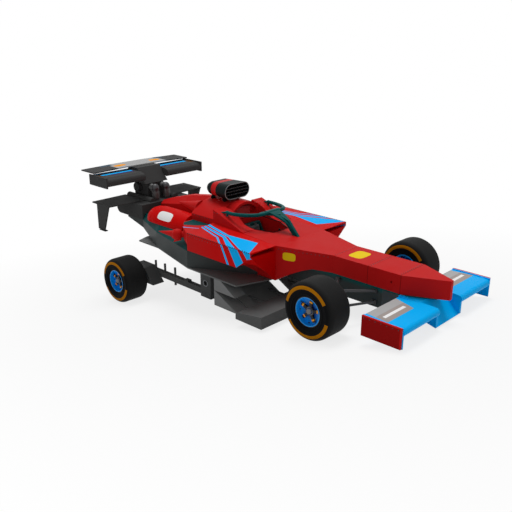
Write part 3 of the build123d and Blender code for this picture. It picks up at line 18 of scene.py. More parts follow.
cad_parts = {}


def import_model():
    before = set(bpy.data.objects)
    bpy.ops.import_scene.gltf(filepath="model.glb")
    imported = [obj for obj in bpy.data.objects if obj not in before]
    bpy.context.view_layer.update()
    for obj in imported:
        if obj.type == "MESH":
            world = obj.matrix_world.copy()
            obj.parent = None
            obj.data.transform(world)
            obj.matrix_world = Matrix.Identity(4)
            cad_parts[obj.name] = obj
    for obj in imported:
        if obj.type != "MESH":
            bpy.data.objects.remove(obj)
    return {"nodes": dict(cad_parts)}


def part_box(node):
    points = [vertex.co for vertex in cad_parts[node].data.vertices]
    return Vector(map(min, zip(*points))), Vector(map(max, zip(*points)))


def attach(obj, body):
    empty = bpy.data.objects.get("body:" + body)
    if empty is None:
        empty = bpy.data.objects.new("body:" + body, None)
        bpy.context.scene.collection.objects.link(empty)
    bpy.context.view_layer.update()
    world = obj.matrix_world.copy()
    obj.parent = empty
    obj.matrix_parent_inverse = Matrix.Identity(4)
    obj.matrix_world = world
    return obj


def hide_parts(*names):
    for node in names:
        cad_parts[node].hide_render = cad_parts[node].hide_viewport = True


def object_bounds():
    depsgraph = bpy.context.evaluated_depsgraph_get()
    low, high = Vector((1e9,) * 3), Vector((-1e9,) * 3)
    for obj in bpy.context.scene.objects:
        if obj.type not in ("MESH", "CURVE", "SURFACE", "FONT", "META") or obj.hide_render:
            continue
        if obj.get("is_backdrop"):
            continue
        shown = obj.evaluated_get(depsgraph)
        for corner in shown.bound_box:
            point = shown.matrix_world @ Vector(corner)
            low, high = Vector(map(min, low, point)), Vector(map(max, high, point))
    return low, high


LOG = logging.getLogger("racing_car")
Point = tuple[float, float, float]
Pair = tuple[float, float]
Colour = tuple[float, float, float, float]
Test = Callable[[Vector, Vector], bool]
SIDES = {"left": 1, "right": -1}
# each wheel's corner of the car, and its side
WHEELS = tuple(
    (f"{axle}_{word}", side) for axle in ("front", "rear") for word, side in SIDES.items())


def paint_colour(red: int, green: int, blue: int) -> Colour:
    """Turn a display colour of 0 to 255 into the shader's linear colour.

    Args:
        red: red part.
        green: green part.
        blue: blue part.

    Returns:
        The linear colour with full alpha.
    """
    def linear(part: int) -> float:
        """One part on the linear scale."""
        share = part / 255
        return share / 12.92 if share <= 0.04045 else ((share + 0.055) / 1.055) ** 2.4

    return (linear(red), linear(green), linear(blue), 1.0)


RED = paint_colour(196, 26, 26)
DECAL_RED = paint_colour(206, 6, 6)
DEEP_RED = paint_colour(150, 12, 12)
DARK_LINE = paint_colour(50, 4, 4)
CYAN = paint_colour(0, 180, 255)
DARK_GREY = paint_colour(66, 66, 66)
TEAL_BLACK = paint_colour(0, 66, 66)
TEAL = paint_colour(0, 92, 90)
GOLD = paint_colour(255, 165, 0)
RING_GOLD = paint_colour(178, 112, 0)
YELLOW = paint_colour(240, 205, 20)
BLACK = paint_colour(14, 14, 16)
LIGHT_GREY = paint_colour(176, 176, 176)
WING_GREY = paint_colour(165, 155, 150)
WHITE = paint_colour(245, 245, 245)
# painted fill light: a grey lighter than the grey parts above, for parts in the shade under the car
UNDER_FILL_LIT_GREY = paint_colour(92, 93, 93)
# painted fill light: a lighter grey for the floor ramps, which lie in the car's shade
RAMP_FILL_LIT_GREY = paint_colour(128, 129, 129)
HULL_GREY = paint_colour(68, 72, 72)
SLATE = paint_colour(64, 84, 98)
DISH_BLUE = paint_colour(10, 162, 255)
# painted shade: the wheel dish's blue where it lies deep, towards the hub
DISH_SHADE_BLUE = paint_colour(0, 62, 150)
RIM_BLACK = paint_colour(20, 16, 14)
SPOKE_BLACK = paint_colour(12, 12, 14)
HUB_GREY = paint_colour(112, 112, 114)
TREAD_GREY = paint_colour(33, 33, 33)
WALL_BLACK = paint_colour(7, 7, 9)
STEEL = paint_colour(120, 122, 126)
DARK_STEEL = paint_colour(58, 58, 60)
PURPLE = paint_colour(60, 30, 95)
BROWN = paint_colour(72, 44, 6)


@dataclass(frozen=True)
class Stance:
    """How the level body is turned and lifted onto its wheels."""

    front_x: float
    wheelbase: float = 3.683
    drop: float = 0.675
    tyre_radius: float = 0.33

    @property
    def rake(self) -> float:
        """Angle by which the nose is turned down, in radians."""
        return math.asin(self.drop / self.wheelbase)

    def matrix(self) -> Matrix:
        """Turn and shift from the level body to the frame."""
        shift = Matrix.Translation((self.front_x, 0.0, self.tyre_radius))
        return shift @ Matrix.Rotation(self.rake, 4, "Y")

    def place(self, point: Sequence[float]) -> Vector:
        """Frame place of a point on the level body."""
        return self.matrix() @ Vector(point)

    def heading(self, direction: Sequence[float]) -> Vector:
        """Frame heading of a direction on the level body."""
        return self.matrix().to_3x3() @ Vector(direction)


class Field:
    """A value that changes over a surface, used in formulas like a number."""

    def __init__(self, recipe: "Recipe", socket: Optional[bpy.types.NodeSocket]) -> None:
        """Keep the socket and the recipe that it belongs to."""
        self.recipe = recipe
        self.socket = socket

    def maths(self, operation: str, *others: "float | Field", clamp: bool = False) -> "Field":
        """Add one Math node.

        Args:
            operation: the node's operation.
            others: its second and third values.
            clamp: whether the result is kept from 0 to 1.

        Returns:
            The node's result.
        """
        settings = {"operation": operation, "use_clamp": clamp}
        return self.recipe.node("ShaderNodeMath", settings, dict(enumerate((self, *others))))

    def __add__(self, other: "float | Field") -> "Field":
        """Sum."""
        return self.maths("ADD", other)

    __radd__ = __add__

    def __sub__(self, other: "float | Field") -> "Field":
        """Difference."""
        return self.maths("SUBTRACT", other)

    def __rsub__(self, other: float) -> "Field":
        """Number minus this."""
        return (self * -1.0) + other

    def __mul__(self, other: "float | Field") -> "Field":
        """Product."""
        return self.maths("MULTIPLY", other)

    __rmul__ = __mul__

    def __truediv__(self, other: "float | Field") -> "Field":
        """Quotient."""
        return self.maths("DIVIDE", other)

    def __abs__(self) -> "Field":
        """Size without sign."""
        return self.maths("ABSOLUTE")

    def above(self, edge: "float | Field", soft: float = 0.0008) -> "Field":
        """One where this is over an edge, with a ramp that reaches soft to each side of it."""
        return ((self - edge) * (0.5 / soft)).maths("ADD", 0.5, clamp=True)

    def below(self, edge: "float | Field", soft: float = 0.0008) -> "Field":
        """One where this is under an edge, with a ramp that reaches soft to each side of it."""
        return ((self - edge) * (-0.5 / soft)).maths("ADD", 0.5, clamp=True)

    def within(self, low: float, high: float) -> "Field":
        """One between two edges."""
        return self.above(low) * self.below(high)

    def either(self, other: "Field") -> "Field":
        """The larger of two masks."""
        return self.maths("MAXIMUM", other)

    def wave(self, step: float) -> "Field":
        """Sine of this with a period of step."""
        return (self * (2 * math.pi / step)).maths("SINE")

    def root(self) -> "Field":
        """Square root."""
        return self.maths("SQRT")


def length_of(across: Field, along: Field) -> Field:
    """Length of the arrow with these two parts."""
    return ((across * across) + (along * along)).root()


def any_of(masks: Iterable[Field]) -> Field:
    """One where any of the masks is one."""
    return reduce(Field.either, masks)


def around(middle: float, *parts: tuple[Field, float]) -> Field:
    """Value that swings about a middle.

    Args:
        middle: its middle.
        parts: patterns from 0 to 1, each with the whole swing that it gives.

    Returns:
        The value.
    """
    lowest = middle - sum(swing for _pattern, swing in parts) / 2
    return sum((pattern * swing for pattern, swing in parts), lowest)


class Recipe:
    """Node tree of a material or a world, and the one way to add a node to it."""

    def __init__(self, holder: "bpy.types.Material | bpy.types.World") -> None:
        """Empty the holder's node tree.

        Args:
            holder: the material or the world that the nodes are for.
        """
        holder.use_nodes = True
        self.holder = holder
        self.tree = holder.node_tree
        self.tree.nodes.clear()

    def node(
        self, kind: str, settings: Optional[dict] = None, inputs: Optional[dict] = None,
        output: int | str = 0
    ) -> Field:
        """Add a node: its settings first, then its sockets' values or links.

        Args:
            kind: the node's type.
            settings: attribute values.
            inputs: values or fields by socket name or number.
            output: which output to return.

        Returns:
            The output that was asked for.
        """
        made = self.tree.nodes.new(kind)
        for key, value in (settings or {}).items():
            setattr(made, key, value)
        for key, value in (inputs or {}).items():
            self.feed(made.inputs[key], value)
        return Field(self, made.outputs[output] if len(made.outputs) else None)

    def feed(self, socket: bpy.types.NodeSocket, value: object) -> None:
        """Give a socket a link or a plain value, without alpha where it takes three parts.

        Args:
            socket: the input to feed.
            value: a field, a number, a vector or a colour.
        """
        if isinstance(value, Field):
            self.tree.links.new(value.socket, socket)
        elif socket.type == "VECTOR" and len(value) == 4:
            socket.default_value = value[:3]
        else:
            socket.default_value = value

    def mix(self, mask: Field, low: "Colour | Field", high: "Colour | Field") -> Field:
        """Colour that goes from low to high as the mask goes from 0 to 1."""
        return self.node("ShaderNodeMix", {"data_type": "RGBA"}, {0: mask, 6: low, 7: high}, 2)

    def tint(self, colour: "Colour | Field", amount: Field) -> Field:
        """Colour made lighter or darker by a factor about 1."""
        scale = {"operation": "SCALE"}
        return self.node("ShaderNodeVectorMath", scale, {0: colour, "Scale": amount})

    def noise(self, vector: Field, scale: float, detail: float = 3.0) -> Field:
        """Cloudy value from 0 to 1, with about this many clouds to a metre."""
        inputs = {"Vector": vector, "Scale": scale, "Detail": detail}
        return self.node("ShaderNodeTexNoise", {}, inputs)

    def bump(self, strength: float, depth: float, height: Field) -> Field:
        """Normal of a surface that is raised by a height, to a strength and a depth."""
        inputs = {"Strength": strength, "Distance": depth, "Height": height}
        return self.node("ShaderNodeBump", {}, inputs)

    def split(self, vector: Field) -> tuple[Field, Field, Field]:
        """The three parts of a vector."""
        first = self.node("ShaderNodeSeparateXYZ", {}, {0: vector})
        return (first, *(Field(self, first.socket.node.outputs[i]) for i in (1, 2)))


class Place:
    """Where a point of a surface is on the level body, and which way it faces."""

    def __init__(self, recipe: Recipe, stance: Stance) -> None:
        """Add the nodes that turn frame places back to the level body.

        Args:
            recipe: the material's recipe.
            stance: how the body stands.
        """
        self.recipe = recipe
        self.object = recipe.node("ShaderNodeTexCoord", {}, {}, "Object")
        facing = recipe.node("ShaderNodeTexCoord", {}, {}, "Normal")
        turn = {"Rotation": (0.0, stance.rake, 0.0)}
        shift = {"Location": (stance.front_x, 0.0, stance.tyre_radius)}
        back = {"vector_type": "TEXTURE"}
        here = {"Vector": self.object, **shift, **turn}
        self.level = recipe.node("ShaderNodeMapping", back, here)
        level_facing = recipe.node("ShaderNodeMapping", back, {"Vector": facing, **turn})
        self.x, self.y, self.z = recipe.split(self.level)
        self.out = abs(self.y)
        _, self.face_y, self.face_z = recipe.split(level_facing)
        self.up = self.face_z.above(0.6, 0.1)
        self.side = abs(self.face_y).above(0.6, 0.1)

    @staticmethod
    def patch(u: Field, v: Field, corners: Sequence[Pair], soft: float = 0.0012) -> Field:
        """Mask of a convex patch.

        Args:
            u: what the corners' first numbers measure.
            v: what their second numbers measure.
            corners: the patch's corners, anticlockwise in u and v.
            soft: how far the ramp reaches to each side of an edge.

        Returns:
            One inside the patch.
        """
        edges = []
        for (u0, v0), (u1, v1) in zip(corners, [*corners[1:], corners[0]]):
            length = math.hypot(u1 - u0, v1 - v0)
            inward = ((v - v0) * ((u1 - u0) / length)) - ((u - u0) * ((v1 - v0) / length))
            edges.append(inward.above(0.0, soft))
        return reduce(Field.__mul__, edges)


Where = Callable[[Place], Field]


@dataclass(frozen=True)
class Mark:
    """A painted patch: its colour and where it lies."""

    colour: Colour
    where: Where


def marked(place: Place, ground: "Colour | Field", marks: Sequence[Mark]) -> "Colour | Field":
    """Paint marks over a ground, in their order.

    Args:
        place: places on the surface.
        ground: the colour under the marks.
        marks: the marks.

    Returns:
        The colour with its marks.
    """
    for mark in marks:
        ground = place.recipe.mix(mark.where(place), ground, mark.colour)
    return ground


class Coat(Enum):
    """How a painted surface is finished, as its roughness."""

    GLOSS = 0.34
    SATIN = 0.46
    MATT = 0.62


@dataclass(frozen=True)
class Look:
    """A finish: its material's name, and what it gives the shader.

    In every finish, rough is the mean roughness, and relief is a bump's strength and depth.
    """

    name: str

    def sockets(self, recipe: Recipe, place: Place) -> dict:
        """Work out the finish.

        Args:
            recipe: the material's recipe.
            place: places on the surface.

        Returns:
            Values and fields by the shader's socket.
        """
        raise NotImplementedError

    def material(self, stance: Stance) -> bpy.types.Material:
        """Build the finish's material.

        Args:
            stance: how the body stands.

        Returns:
            The finished material.
        """
        recipe = Recipe(bpy.data.materials.new(self.name))
        sockets = self.sockets(recipe, Place(recipe, stance))
        shader = recipe.node("ShaderNodeBsdfPrincipled", {}, sockets)
        recipe.node("ShaderNodeOutputMaterial", {}, {"Surface": shader})
        return recipe.holder


@dataclass(frozen=True)
class Paint(Look):
    """Sprayed paint with faint mottling, orange peel and painted marks."""

    colour: Colour
    coat: Coat = Coat.SATIN
    marks: tuple[Mark, ...] = ()
    mottle: float = 0.07
    fine_mottle: float = 0.042
    uneven: float = 0.16
    peel: float = 0.05
    peel_depth: float = 0.0006
    shine: float = 0.035

    def sockets(self, recipe: Recipe, place: Place) -> dict:
        """Mottle the colour, vary the gloss and raise the peel.

        Args:
            recipe: the material's recipe.
            place: places on the surface.

        Returns:
            Values and fields by the shader's socket.
        """
        colour = marked(place, self.colour, self.marks)
        clouds = recipe.noise(place.level, 5.0, 4.0)
        specks = recipe.noise(place.level, 260.0, 2.0)
        peel = recipe.noise(place.level, 420.0, 2.0)
        shade = around(1.0, (clouds, self.mottle), (specks, self.fine_mottle))
        return {
            "Base Color": recipe.tint(colour, shade),
            "Roughness": around(self.coat.value, (clouds, self.uneven)),
            "Normal": recipe.bump(self.peel, self.peel_depth, peel),
            "Specular IOR Level": self.shine,
        }


@dataclass(frozen=True)
class Weave(Look):
    """Satin twill carbon fibre of two tones, with painted marks."""

    colour: Colour
    second: Colour
    marks: tuple[Mark, ...] = ()
    cell: float = 0.006
    lean: float = 0.35
    diagonal: float = 0.6
    contrast: float = 0.32
    rough: float = 0.42
    relief: Pair = (0.12, 0.0004)
    shine: float = 0.06

    def sockets(self, recipe: Recipe, place: Place) -> dict:
        """Cross two sets of threads and lay the twill's diagonal over them.

        Args:
            recipe: the material's recipe.
            place: places on the surface.

        Returns:
            Values and fields by the shader's socket.
        """
        lie = place.x + place.z
        across = place.y + (place.z * self.lean)
        crossing = lie.wave(self.cell) * across.wave(self.cell)
        threads = crossing + ((lie + across).wave(self.cell * 2) * self.diagonal)
        tows = (threads * self.contrast).maths("ADD", 0.5, clamp=True)
        colour = marked(place, recipe.mix(tows, self.colour, self.second), self.marks)
        clouds = recipe.noise(place.level, 4.0)
        return {
            "Base Color": recipe.tint(colour, around(1.0, (clouds, 0.3))),
            "Roughness": around(self.rough, (tows, 0.12)),
            "Normal": recipe.bump(*self.relief, tows),
            "Specular IOR Level": self.shine,
        }


@dataclass(frozen=True)
class Metal(Look):
    """Turned or brushed metal with fine lines along one axis."""

    colour: Colour
    rough: float = 0.35
    metallic: float = 0.85
    lines: Point = (40.0, 900.0, 40.0)
    relief: Pair = (0.08, 0.0003)

    def sockets(self, recipe: Recipe, place: Place) -> dict:
        """Draw noise out into lines, and smudge it.

        Args:
            recipe: the material's recipe.
            place: places on the surface.

        Returns:
            Values and fields by the shader's socket.
        """
        drawn = recipe.node(
            "ShaderNodeVectorMath", {"operation": "MULTIPLY"}, {0: place.level, 1: self.lines})
        lines = recipe.noise(drawn, 1.0)
        smudge = recipe.noise(place.level, 22.0)
        return {
            "Base Color": recipe.tint(self.colour, around(1.0, (lines, 0.3), (smudge, 0.2))),
            "Roughness": around(self.rough, (lines, 0.16), (smudge, 0.1)),
            "Normal": recipe.bump(*self.relief, lines),
            "Metallic": self.metallic,
        }


@dataclass(frozen=True)
class Cloth(Look):
    """Woven webbing or padded cloth."""

    colour: Colour
    thread: float = 0.0016
    rough: float = 0.85
    relief: Pair = (0.3, 0.0005)
    fuzz: float = 0.15

    def sockets(self, recipe: Recipe, place: Place) -> dict:
        """Weave threads both ways.

        Args:
            recipe: the material's recipe.
            place: places on the surface.

        Returns:
            Values and fields by the shader's socket.
        """
        warp = (place.y.wave(self.thread) * (place.x + place.z).wave(self.thread)) * 0.5 + 0.5
        clouds = recipe.noise(place.level, 30.0)
        return {
            "Base Color": recipe.tint(self.colour, around(1.0, (warp, 0.25), (clouds, 0.25))),
            "Roughness": self.rough,
            "Normal": recipe.bump(*self.relief, warp),
            "Sheen Weight": self.fuzz,
        }


@dataclass(frozen=True)
class Spin:
    """Shader places about one wheel's axle."""

    centre: Point
    side: int

    def fields(self, place: Place) -> tuple[Field, Field, Field]:
        """Measure a place from the axle.

        Args:
            place: the place on the wheel.

        Returns:
            Radius, distance out from the wheel's middle plane, and height above the axle.
        """
        x, y, z = place.recipe.split(place.object)
        ahead, above = x - self.centre[0], z - self.centre[2]
        return length_of(ahead, above), (y - self.centre[1]) * float(self.side), above


@dataclass(frozen=True)
class Rubber(Look):
    """Tyre rubber with moulding rings and two painted arcs on each side."""

    spin: Spin
    arc: Pair = (0.255, 0.292)
    arc_gap: float = 0.38
    wall_out: float = 0.12
    tread_radius: float = 0.304
    moulding_step: float = 0.0075
    moulding_radius: float = 0.262
    rough: float = 0.67
    relief: Pair = (0.25, 0.0008)
    shine: float = 0.06

    def sockets(self, recipe: Recipe, place: Place) -> dict:
        """Tell tread from sidewall, paint the arcs and raise the rings.

        Args:
            recipe: the material's recipe.
            place: places on the surface.

        Returns:
            Values and fields by the shader's socket.
        """
        radius, out, above = self.spin.fields(place)
        slope = abs(above / radius)
        sidewall = abs(out).above(self.wall_out)
        arcs = radius.within(*self.arc) * slope.above(self.arc_gap, 0.004) * sidewall
        grain = recipe.noise(place.object, 240.0)
        clouds = recipe.noise(place.object, 9.0)
        rings = radius.wave(self.moulding_step) * radius.below(self.moulding_radius) * 0.5
        rubber = recipe.mix(radius.above(self.tread_radius, 0.024), WALL_BLACK, TREAD_GREY)
        colour = recipe.mix(arcs, rubber, RING_GOLD)
        return {
            "Base Color": recipe.tint(colour, around(1.0, (clouds, 0.35), (grain, 0.15))),
            "Roughness": around(self.rough, (clouds, 0.14)),
            "Normal": recipe.bump(*self.relief, rings + grain),
            "Specular IOR Level": self.shine,
        }


@dataclass(frozen=True)
class Dish(Look):
    """Wheel paint: a blue dish, dark spokes with gold tips, a grey hub and a dark rim."""

    spin: Spin
    face_out: float = 0.0985
    dish_radius: float = 0.1675
    shadow_radius: float = 0.105
    spoke_radius: float = 0.14
    tips: Pair = (0.094, 0.112)
    hub_radius: float = 0.046
    # how far out of the face the spokes and the hub begin, and the inner side of the rim
    spoke_out: float = 0.004
    hub_out: float = 0.02
    inner_out: float = 0.02
    rough: float = 0.36
    hub_smooth: float = 0.1
    hub_metallic: float = 0.4
    relief: Pair = (0.06, 0.0004)
    shine: float = 0.25

    def sockets(self, recipe: Recipe, place: Place) -> dict:
        """Paint each form of the wheel by its radius and by how far it stands out.

        Args:
            recipe: the material's recipe.
            place: places on the surface.

        Returns:
            Values and fields by the shader's socket.
        """
        radius, out, _above = self.spin.fields(place)
        outer = abs(out).above(self.inner_out)
        raised = out.above(self.face_out + self.spoke_out)
        hub = out.above(self.face_out + self.hub_out) * radius.below(self.hub_radius)
        clouds = recipe.noise(place.object, 14.0)
        fine = recipe.noise(place.object, 320.0, 2.0)
        # painted shade: inside the shadow radius the dish's blue darkens towards the hub
        blue = recipe.mix(radius.above(self.shadow_radius, 0.05), DISH_SHADE_BLUE, DISH_BLUE)
        colour = recipe.mix(radius.below(self.dish_radius) * outer, RIM_BLACK, blue)
        colour = recipe.mix(raised * radius.below(self.spoke_radius), colour, SPOKE_BLACK)
        colour = recipe.mix(raised * radius.within(*self.tips), colour, GOLD)
        colour = recipe.mix(hub, colour, HUB_GREY)
        return {
            "Base Color": recipe.tint(colour, around(1.0, (clouds, 0.2))),
            "Roughness": around(self.rough, (fine, 0.12)) - hub * self.hub_smooth,
            "Normal": recipe.bump(*self.relief, fine),
            "Metallic": hub * self.hub_metallic,
            "Specular IOR Level": self.shine,
        }


@dataclass(frozen=True)
class Glass(Look):
    """Dark screen behind smooth cover glass."""

    colour: Colour
    rough: float = 0.11
    cover: float = 0.6
    cover_rough: float = 0.05

    def sockets(self, recipe: Recipe, place: Place) -> dict:
        """Smear the glass a little.

        Args:
            recipe: the material's recipe.
            place: places on the surface.

        Returns:
            Values and fields by the shader's socket.
        """
        smear = recipe.noise(place.level, 60.0)
        return {
            "Base Color": recipe.tint(self.colour, around(1.0, (smear, 0.3))),
            "Roughness": around(self.rough, (smear, 0.1)),
            "Coat Weight": self.cover,
            "Coat Roughness": self.cover_rough,
        }


# angles in degrees under which faces are shaded as one, on cut pieces and on round ones
CRISP = 35.0
ROUND = 60.0
# how deep a small piece's foot sits in what carries it
SINK = 0.001
# how close two corners are merged, how far a corner may be off its ring, and how close
# to an end an edge belongs to it
MERGE = 0.00002
SLACK = 1e-6
NEAR = 0.0005


class Pick(Enum):
    """What a selection is made of."""

    FACE = "FACE"
    EDGE = "EDGE"


def towards(axis: int, sign: float, least: float = 0.9) -> Test:
    """A test for faces that look along an axis, up to a cosine."""
    return lambda spot, facing: facing[axis] * sign > least


class Workpiece:
    """One new mesh, modelled with the operators that a maker would use by hand."""

    def __init__(self, name: str) -> None:
        """Take the object that an operator has just added.

        Args:
            name: the piece's name.
        """
        self.thing = bpy.context.active_object
        self.rename(name)
        self.settle()

    def rename(self, name: str) -> None:
        """Name the object and its mesh."""
        self.thing.name = name
        self.thing.data.name = name

    @staticmethod
    def settle() -> None:
        """Put the selected object's place into its mesh."""
        bpy.ops.object.transform_apply(location=True, rotation=True, scale=True)

    @staticmethod
    def clear() -> None:
        """Deselect everything, so that the next operator acts on its own piece alone."""
        bpy.ops.object.select_all(action="DESELECT")

    @classmethod
    def block(cls, name: str, low: Point, high: Point) -> "Workpiece":
        """A block to be shaped further.

        Args:
            name: the piece's name.
            low: its lowest corner.
            high: its highest corner.

        Returns:
            The block.
        """
        cls.clear()
        middle = [(a + b) / 2 for a, b in zip(low, high)]
        bpy.ops.mesh.primitive_cube_add(size=1.0, location=middle)
        bpy.context.active_object.scale = [b - a for a, b in zip(low, high)]
        return cls(name)

    @classmethod
    def bar(cls, name: str, start: Point, end: Point, radius: float, sides: int) -> "Workpiece":
        """A round bar to be shaped further.

        Args:
            name: the piece's name.
            start: middle of its first end.
            end: middle of its other end.
            radius: its radius.
            sides: how many flats stand for its roundness.

        Returns:
            The bar.
        """
        cls.clear()
        run = Vector(end) - Vector(start)
        bpy.ops.mesh.primitive_cylinder_add(
            vertices=sides, radius=radius, depth=run.length,
            location=(Vector(start) + Vector(end)) / 2,
            rotation=run.to_track_quat("Z", "Y").to_euler())
        return cls(name)

    @classmethod
    def tube(
        cls, name: str, points: Sequence[Point], radius: float, closed: bool = False
    ) -> "Workpiece":
        """A thin round tube through points, made a mesh.

        Args:
            name: the piece's name.
            points: places that the tube's middle goes through.
            radius: the tube's radius.
            closed: whether the last point joins the first.

        Returns:
            The tube.
        """
        cls.clear()
        curve = bpy.data.curves.new(name, "CURVE")
        curve.dimensions = "3D"
        curve.bevel_depth = radius
        curve.bevel_resolution = 2
        curve.use_fill_caps = True
        line = curve.splines.new("POLY")
        line.points.add(len(points) - 1)
        for spot, place in zip(line.points, points):
            spot.co = (*place, 1.0)
        line.use_cyclic_u = closed
        thing = bpy.data.objects.new(name, curve)
        bpy.context.scene.collection.objects.link(thing)
        thing.select_set(True)
        bpy.context.view_layer.objects.active = thing
        bpy.ops.object.convert(target="MESH")
        return cls(name)

    def take(self) -> None:
        """Make this the one selected and active object."""
        self.clear()
        self.thing.select_set(True)
        bpy.context.view_layer.objects.active = self.thing

    def pick(self, what: Pick, test: Test) -> None:
        """Enter edit mode with the faces or edges that pass a test selected.

        Args:
            what: faces or edges.
            test: told each one's middle, and a face's normal or an edge's heading.
        """
        self.take()
        mesh = self.thing.data
        bpy.ops.object.mode_set(mode="EDIT")
        bpy.ops.mesh.select_mode(type=what.value)
        bpy.ops.mesh.select_all(action="DESELECT")
        bpy.ops.object.mode_set(mode="OBJECT")
        if what is Pick.FACE:
            for face in mesh.polygons:
                face.select = test(face.center, face.normal)
        else:
            for edge in mesh.edges:
                start, end = (mesh.vertices[i].co for i in edge.vertices)
                edge.select = test((start + end) / 2, (end - start).normalized())
        bpy.ops.object.mode_set(mode="EDIT")

    @staticmethod
    def done() -> None:
        """Leave edit mode."""
        bpy.ops.object.mode_set(mode="OBJECT")

    @staticmethod
    def draw_out(move: Sequence[float]) -> None:
        """Extrude what is selected by a move."""
        bpy.ops.mesh.extrude_region_move(TRANSFORM_OT_translate={"value": move})

    def bevel(self, test: Test, width: float, segments: int) -> "Workpiece":
        """Round the edges that pass a test.

        Args:
            test: told each edge's middle and heading.
            width: width of the rounding.
            segments: how many flats stand for its roundness.

        Returns:
            This piece.
        """
        self.pick(Pick.EDGE, test)
        bpy.ops.mesh.bevel(offset=width, segments=segments, affect="EDGES")
        self.done()
        return self

    def inset(self, test: Test, steps: Iterable[Pair]) -> "Workpiece":
        """Inset the faces that pass a test, step by step.

        Args:
            test: told each face's middle and normal.
            steps: how far each inset goes in, and how far it rises.

        Returns:
            This piece.
        """
        self.pick(Pick.FACE, test)
        for thickness, depth in steps:
            bpy.ops.mesh.inset(thickness=thickness, depth=depth, use_individual=True)
        self.done()
        return self

    def modified(self, kind: str, **settings: object) -> "Workpiece":
        """Add a modifier and apply it.

        Args:
            kind: the modifier's type.
            settings: its attributes' values.

        Returns:
            This piece.
        """
        self.take()
        modifier = self.thing.modifiers.new(kind, kind)
        for key, value in settings.items():
            setattr(modifier, key, value)
        bpy.ops.object.modifier_apply(modifier=modifier.name)
        return self

    def soften(self, width: float, segments: int = 2, angle: float = 40.0) -> "Workpiece":
        """Round every edge that turns by more than an angle in degrees."""
        limit = {"limit_method": "ANGLE", "angle_limit": math.radians(angle)}
        return self.modified("BEVEL", width=width, segments=segments, **limit)

    def swell(self) -> "Workpiece":
        """Smooth the form by one level of subdivision."""
        return self.modified("SUBSURF", levels=1, render_levels=1)

    def repeat(self, count: int, step: Point) -> "Workpiece":
        """Copy the mesh along a line."""
        by_step = {"use_relative_offset": False, "use_constant_offset": True}
        return self.modified("ARRAY", count=count, constant_offset_displace=step, **by_step)

    def copied(self, name: str, move: Matrix) -> "Workpiece":
        """Copy the piece, with a mesh of its own.

        Args:
            name: the copy's name.
            move: where the copy goes.

        Returns:
            The copy.
        """
        self.take()
        bpy.ops.object.duplicate(linked=False)
        bpy.context.active_object.matrix_world = move
        return Workpiece(name)

    def joined(self, others: Iterable["Workpiece"], name: str) -> "Workpiece":
        """Take other pieces into this one.

        Args:
            others: the other pieces.
            name: the whole's name.

        Returns:
            This piece.
        """
        self.take()
        for other in others:
            other.thing.select_set(True)
        if len(bpy.context.selected_objects) > 1:
            bpy.ops.object.join()
        self.rename(name)
        return self

    def placed(self, move: Matrix) -> "Workpiece":
        """Move the mesh itself.

        Args:
            move: the move.

        Returns:
            This piece.
        """
        self.take()
        self.thing.matrix_world = move
        self.settle()
        return self

    def close_up(self) -> "Workpiece":
        """Merge doubles and point every face outwards.

        Returns:
            This piece.
        """
        self.pick(Pick.FACE, lambda spot, facing: True)
        bpy.ops.mesh.remove_doubles(threshold=MERGE)
        bpy.ops.mesh.normals_make_consistent(inside=False)
        self.done()
        return self

    def finish(
        self, body: str, slot: str, material: bpy.types.Material, smooth: float = CRISP
    ) -> bpy.types.Object:
        """Dress the piece and let it ride on its body.

        Args:
            body: the CAD body that it moves with.
            slot: the record's material slot; not used.
            material: its finish.
            smooth: angle in degrees under which faces are shaded as one.

        Returns:
            The finished object.
        """
        self.take()
        self.thing.data.materials.clear()
        self.thing.data.materials.append(material)
        bpy.ops.object.shade_smooth_by_angle(angle=math.radians(smooth))
        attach(self.thing, body)
        faces = len(self.thing.data.polygons)
        LOG.info("%s rides on %s with %d faces", self.thing.name, body, faces)
        return self.thing


class Finishes:
    """Every finish of the car, built once and handed out by name."""

    def __init__(self, stance: Stance) -> None:
        """Remember the stance that the finishes are placed by."""
        self.stance = stance
        self.made: dict[str, bpy.types.Material] = {}

    def get(self, look: Look) -> bpy.types.Material:
        """The look's material, built the first time that it is asked for.

        Args:
            look: the look.

        Returns:
            Its material.
        """
        if look.name not in self.made:
            self.made[look.name] = look.material(self.stance)
        return self.made[look.name]


# where painted marks lie; a line gives the distance out as (start x, slope, out at the start)
NOSE_JOINTS = (0.143, 0.564)
JOINT_HALF = 0.002
FENCE_LINE = (0.6, 0.345, 0.33)
TIP_LINE = (0.573, 0.12, 0.86)
WING_TOP = 0.1
SCOOP_BAND = (-2.475, -2.375)
SCOOP_FLAT = 0.116
SCOOP_MIDDLE_Z = 0.742
SCOOP_INSIDE = 0.087
SEAM_STEP = 0.034
SEAM_OUT = 0.907
SEAM_Z = 0.343
POD_WALL_OUT = 0.88
# how much a face looks up or sideways where a mark may lie, with its ramp
FACING = (0.5, 0.05)
# convex patches on a sidepod's top, as (distance aft, distance out), anticlockwise
STRIPE_TOPS = (
    ((1.74, 0.786), (1.535, 0.93), (1.50, 0.93), (1.725, 0.766)),
    ((2.17, 0.668), (1.74, 0.786), (1.725, 0.766), (2.16, 0.648)),
    ((2.39, 0.80), (2.17, 0.668), (2.16, 0.648), (2.40, 0.78)),
    ((1.678, 0.735), (1.40, 0.93), (1.24, 0.93), (1.676, 0.69)),
    ((2.22, 0.618), (1.678, 0.735), (1.676, 0.69), (2.22, 0.582)),
    ((1.633, 0.682), (1.155, 0.93), (1.03, 0.93), (1.238, 0.56), (1.68, 0.625)),
    ((2.21, 0.556), (1.633, 0.682), (1.68, 0.625), (2.21, 0.515)),
)
